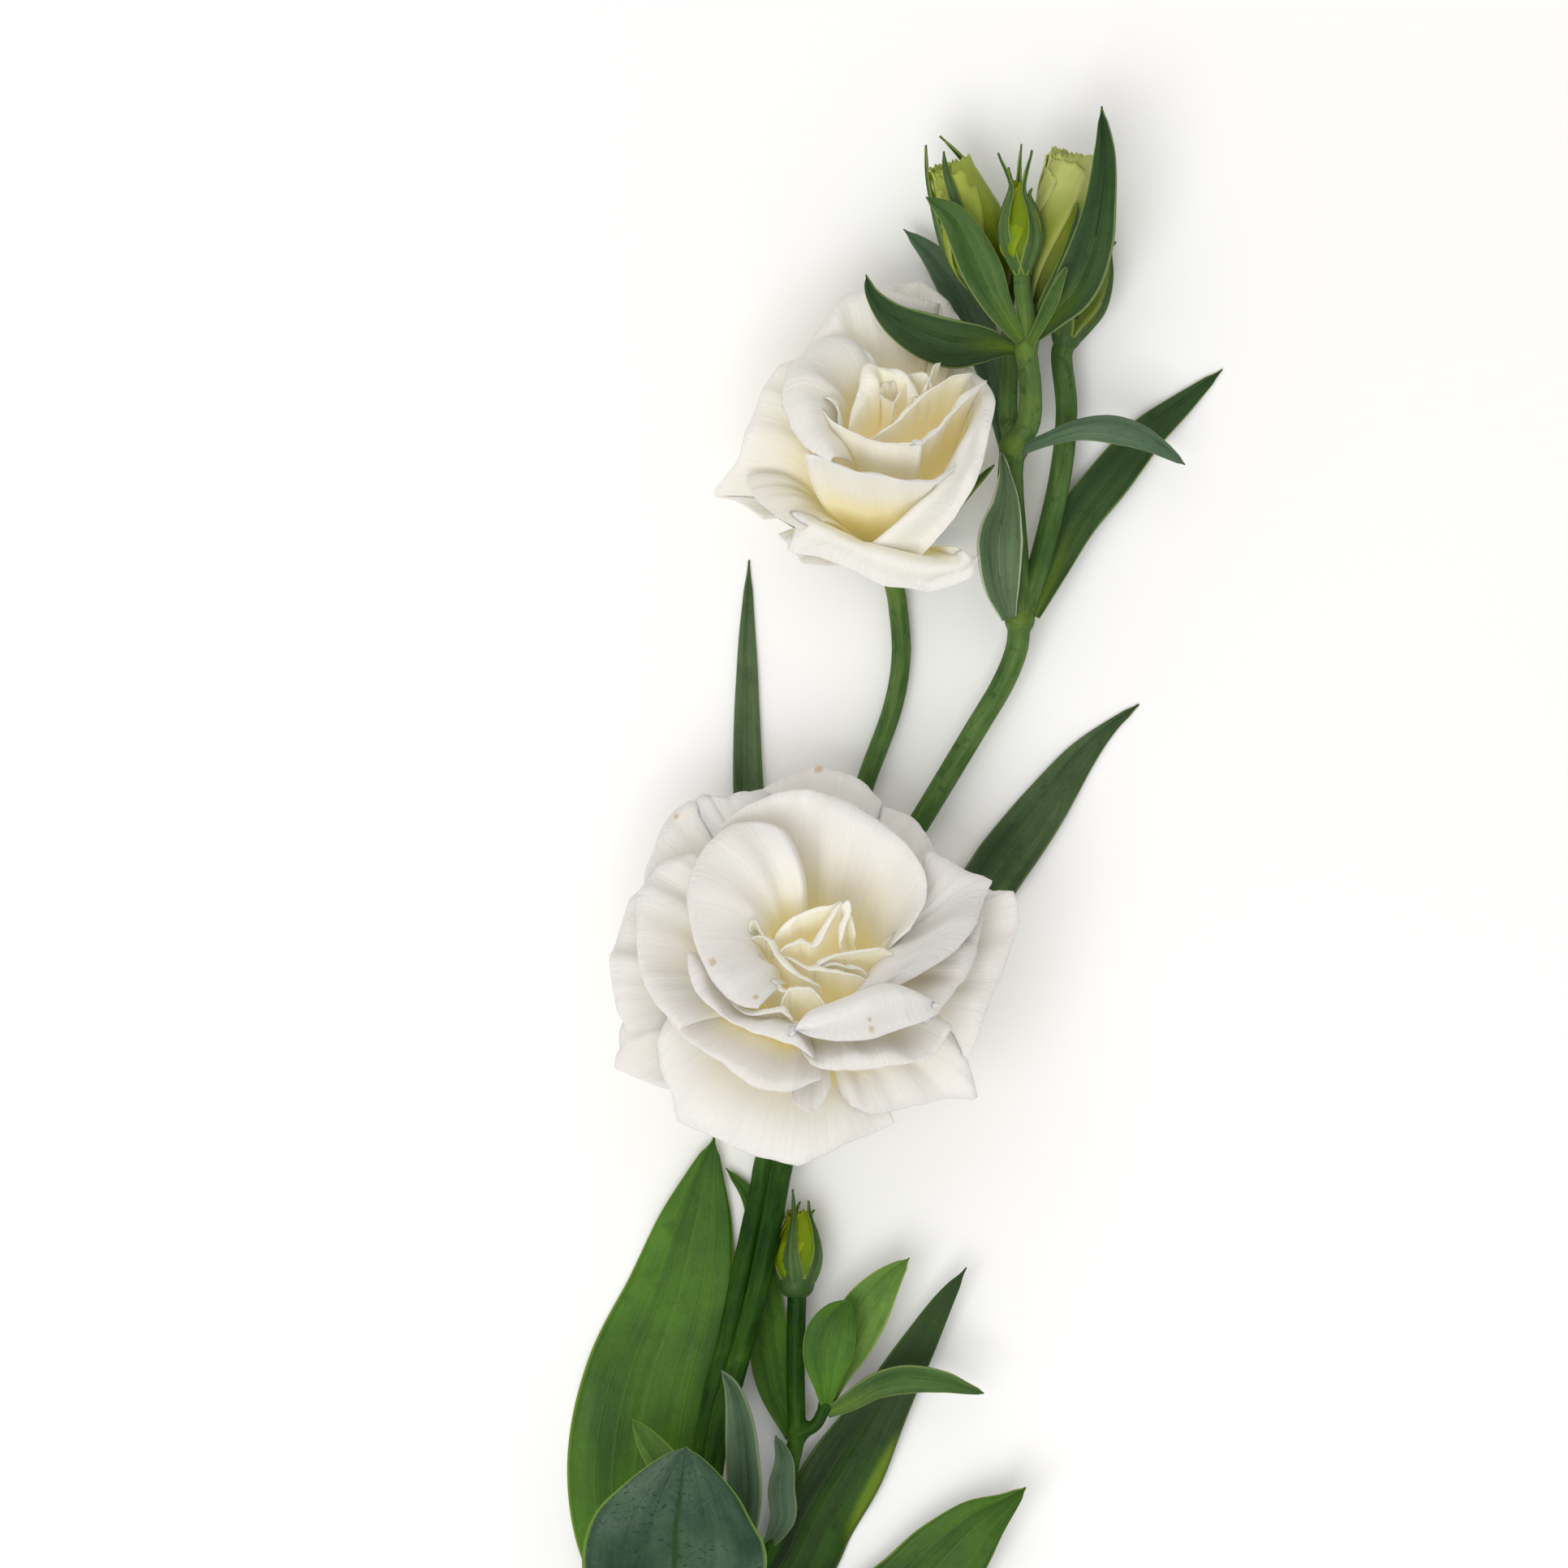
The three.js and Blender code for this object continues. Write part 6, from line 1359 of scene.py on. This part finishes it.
NODES = {
    "cut_node": (-16.6, -149.4, 4.4, 3.3), "hidden_fork": (4.8, -37, 3.4, 2.7),
    "collar": (40.6, 28.4, 8, 2.7), "upper_node": (39.6, 58, 10.4, 2.7),
    "crown_node": (41.5, 75.2, 14, 2.3), "twig_node": (2.3, -112, 7, 1.9), "side_node": (7.2, -107, 8.6, 1.4),
}
LONE_STEMS = ("lower_pedicel", "bud_a_pedicel", "stem_b")
print("stems:", len(STEMS), "and nodes:", len(NODES))

# %% [markdown]
# The stem's finish
# Near the cut the stem is a dark, full green, and it pales on its way up. Streaks and finer hairs run
# along it, small dark spots lie over it, and it is lighter round the collars where it forks. Streaks
# that follow a stem round its bends need to know where on the stem they are, so each point of the skin
# looks up the nearest path: how far along it the point lies, and on which side of it.

# %% Stem green
COLLARS = [NODES[name][:2] for name in ("collar", "upper_node", "crown_node")]
LOW_STOPS = (0.38, (0.004, 0.030, 0.0)), (0.68, (0.032, 0.098, 0.002))
HIGH_STOPS = (0.38, (0.040, 0.096, 0.018)), (0.68, (0.118, 0.205, 0.052))
STEM_PATCH, STEM_SPOT, COLLAR_LIGHT = (0.12, 0.19, 0.02), (0.012, 0.045, 0.010), (0.15, 0.24, 0.03)


def stem_finish():
    look = Finish("stem_green", Specular_IOR_Level=0.14, **TISSUE)
    run, around = look.attributes("run", "around")
    point = look.point()
    cloud = look.noise(point, 70, 4, 0.6)
    streak = look.streaks(around * 11, run * 0.10, 0.0, 4, 0.6)
    hair = look.streaks(around * 60, run * 0.5, 4.0, 3, 0.6)
    tone = cloud * 0.6 + streak * 0.6 - 0.1
    height = look.parts(point)[1].ramp(-0.04, 0.0)
    colour = look.mix(height, look.ramp(tone, *LOW_STOPS), look.ramp(tone, *HIGH_STOPS))
    colour = look.mix(cloud.ramp(0.58, 0.72) * 0.4, colour, STEM_PATCH)
    spots = look.noise(point, 330, 4, 0.7)
    colour = look.mix(spots.ramp(0.56, 0.66) * 0.5, colour, STEM_SPOT)
    for place in COLLARS:
        ring = 1 - (look.reach(point, place) + spots * 2).ramp(1.8, 3.8)
        colour = look.mix(ring * 0.5, colour, COLLAR_LIGHT)
    look.feed("Base Color", look.darken(colour, 0.85 + hair * 0.3))
    look.feed("Roughness", 0.42 + cloud * 0.16)
    look.bump(streak * 1.2 + hair * 0.5 + spots * 0.2, 0.2, 0.6)
    return look.material


STEM_GREEN = stem_finish()
print("stem finish:", len(STEM_GREEN.node_tree.nodes), "nodes")

# %% Rods and balls
ROD_SIDES = 24
CUP_DEPTHS = {"bloom": 3, "bud": 2.2}
LEAD, OVERLAP = 2.2, 0.6


def foot_of(name):
    """The last two places of a pedicel, in line with the cup that it runs into."""
    axis = bud_axis(BUDS[name])[0] if name in BUDS else BLOOMS[name]
    depth = CUP_DEPTHS["bud" if name in BUDS else "bloom"]
    return [axis.base - (depth + more) * axis.axis for more in (LEAD, -OVERLAP)]


def rod_piece(name, line, run, radii):
    """A stem swept along a line, as wide at its two ends as radii say."""
    first, last = radii
    curve = curve_object(name + "_path", line, first + (last - first) * run / run[-1])
    rod = ROD.grow(name, rib=curve, sides=ROD_SIDES, material=STEM_GREEN)
    bpy.data.objects.remove(curve)
    return rod


def ball_piece(name, x, y, z, radius):
    """The swelling where stems fork."""
    axis = Axis((x, y, z), np.array([0, 0, 1.0]), np.array([1.0, 0, 0]))
    turns = np.linspace(0, math.pi, 15)
    profile = np.column_stack([radius * np.sin(turns) + 0.02, -radius * np.cos(turns)])
    return pot(name, axis, profile, STEM_GREEN, sides=24, rings=30)


print(f"the last {LEAD + OVERLAP:.1f} mm of a pedicel lie in line with its cup")

# %% One skin for the stems
STEM_SAMPLES = 120
STEM_MESH = 0.42


def melted(pieces):
    """Sweeps and balls joined into one skin without seams."""
    whole = joined(pieces)
    skin = whole.modifiers.new("skin", "REMESH")
    skin.mode, skin.voxel_size, skin.use_smooth_shade = "VOXEL", STEM_MESH * MM, True
    soft = whole.modifiers.new("soft", "SMOOTH")
    soft.factor, soft.iterations = 0.6, 4
    return baked(whole, "skin")


def stem_piece(name):
    """All stems: those that fork are melted together, those that only lie close stay apart."""
    samples, together, apart = [], [], []
    for stem, (path, radii, carries) in STEMS.items():
        places = [*path, *foot_of(carries)] if carries else path
        line = through(places, np.linspace(0, 1, STEM_SAMPLES))
        run = np.append(0, np.cumsum(np.linalg.norm(np.diff(line, axis=0), axis=1)))
        samples.append((line, run, unit(np.gradient(line, axis=0))))
        (apart if stem in LONE_STEMS else together).append(rod_piece(stem, line, run, radii))
    together += [ball_piece(node, *ball) for node, ball in NODES.items()]
    piece = joined([melted(together), *(melted([rod]) for rod in apart)])
    piece.name = piece.data.name = name
    measure_stem(piece.data, samples)
    piece.data.materials.clear()
    piece.data.materials.append(STEM_GREEN)
    return piece


def measure_stem(mesh, samples):
    """Gives each point its millimetres along the nearest path, and its share of the way round it."""
    lines, runs, tangents = (np.concatenate(part) for part in zip(*samples))
    tree = KDTree(len(lines))
    for i, place in enumerate(to_frame(lines)):
        tree.insert(place, i)
    tree.balance()
    points = np.empty(len(mesh.vertices) * 3)
    mesh.vertices.foreach_get("co", points)
    points = points.reshape(-1, 3)
    nearest = np.array([tree.find(p)[1] for p in points])
    tangent, offset = tangents[nearest], points / MM + BOX_MIDDLE - lines[nearest]
    up = unit(np.array([0, 0, 1.0]) - tangent * tangent[:, 2:])
    side = np.cross(tangent, up)
    around = np.arctan2((offset * side).sum(1), (offset * up).sum(1)) / TURN + 0.5
    keep_values(mesh, run=runs[nearest], around=around)


settle(stem_piece("stem_fine"), "stem", "stem")

# %% [markdown]
# Table, light and camera
# The photograph shows the stem upright, against white and in broad soft light from the lower left. Here
# it lies on a pale floor that takes the soft shadows, and the camera looks straight down on it. One large
# lamp and a warm white world do most of the work, a weaker lamp beyond the buds reaches into the cups of
# the blooms, and a long lens keeps the picture as flat as the original.

# %% Floor
FLOOR_SIDE = 3.0


def floor_finish():
    look = Finish("floor_paint", Roughness=0.9, Specular_IOR_Level=0.1)
    patches = look.noise(look.point(), 3, 3)
    look.feed("Base Color", look.ramp(patches, (0.3, (0.95, 0.95, 0.95)), (0.7, (0.97, 0.97, 0.97))))
    return look.material


half = FLOOR_SIDE / 2
floor_mesh = bpy.data.meshes.new("floor")
corners = [(-half, -half, 0), (half, -half, 0), (half, half, 0), (-half, half, 0)]
floor_mesh.from_pydata(corners, [], [(0, 1, 2, 3)])
floor_mesh.materials.append(floor_finish())
floor = placed("floor", floor_mesh)
print("floor:", FLOOR_SIDE, "metres a side")

# %% Light
def area_lamp(name, place, side, power):
    """A square lamp that looks at the middle of the floor."""
    data = bpy.data.lights.new(name, "AREA")
    data.shape, data.size, data.energy = "SQUARE", side, power
    lamp = placed(name, data)
    lamp.location = place
    lamp.rotation_euler = (-Vector(place)).to_track_quat("-Z", "Y").to_euler()
    print(f"{name}: {power} watts, {Vector(place).length:.2f} metres away")


area_lamp("key_lamp", (-0.36, -0.6, 1.42), 1.0, 12.5)
area_lamp("back_lamp", (-0.35, 0.8, 1.3), 1.2, 4)
world = bpy.data.worlds.new("studio")
world.use_nodes = True
sky = world.node_tree.nodes["Background"].inputs
sky["Color"].default_value = (1, 0.98, 0.955, 1)
sky["Strength"].default_value = 0.58
bpy.context.scene.world = world
bpy.context.scene.view_settings.view_transform = "Standard"

# %% Camera
PHOTO_WIDTH = 0.27048
CAMERA_HEIGHT = 6.0
SENSOR_WIDTH = 36
camera_data = bpy.data.cameras.new("camera")
camera_data.sensor_width = SENSOR_WIDTH
camera_data.lens = SENSOR_WIDTH * CAMERA_HEIGHT / PHOTO_WIDTH
camera_data.clip_end = 20
camera = placed("camera", camera_data)
middle = to_frame([0, 0, 0])
camera.location = (middle[0], middle[1], CAMERA_HEIGHT)
bpy.context.scene.camera = camera
print(f"lens: {camera_data.lens:.0f} mm, from {CAMERA_HEIGHT} metres")
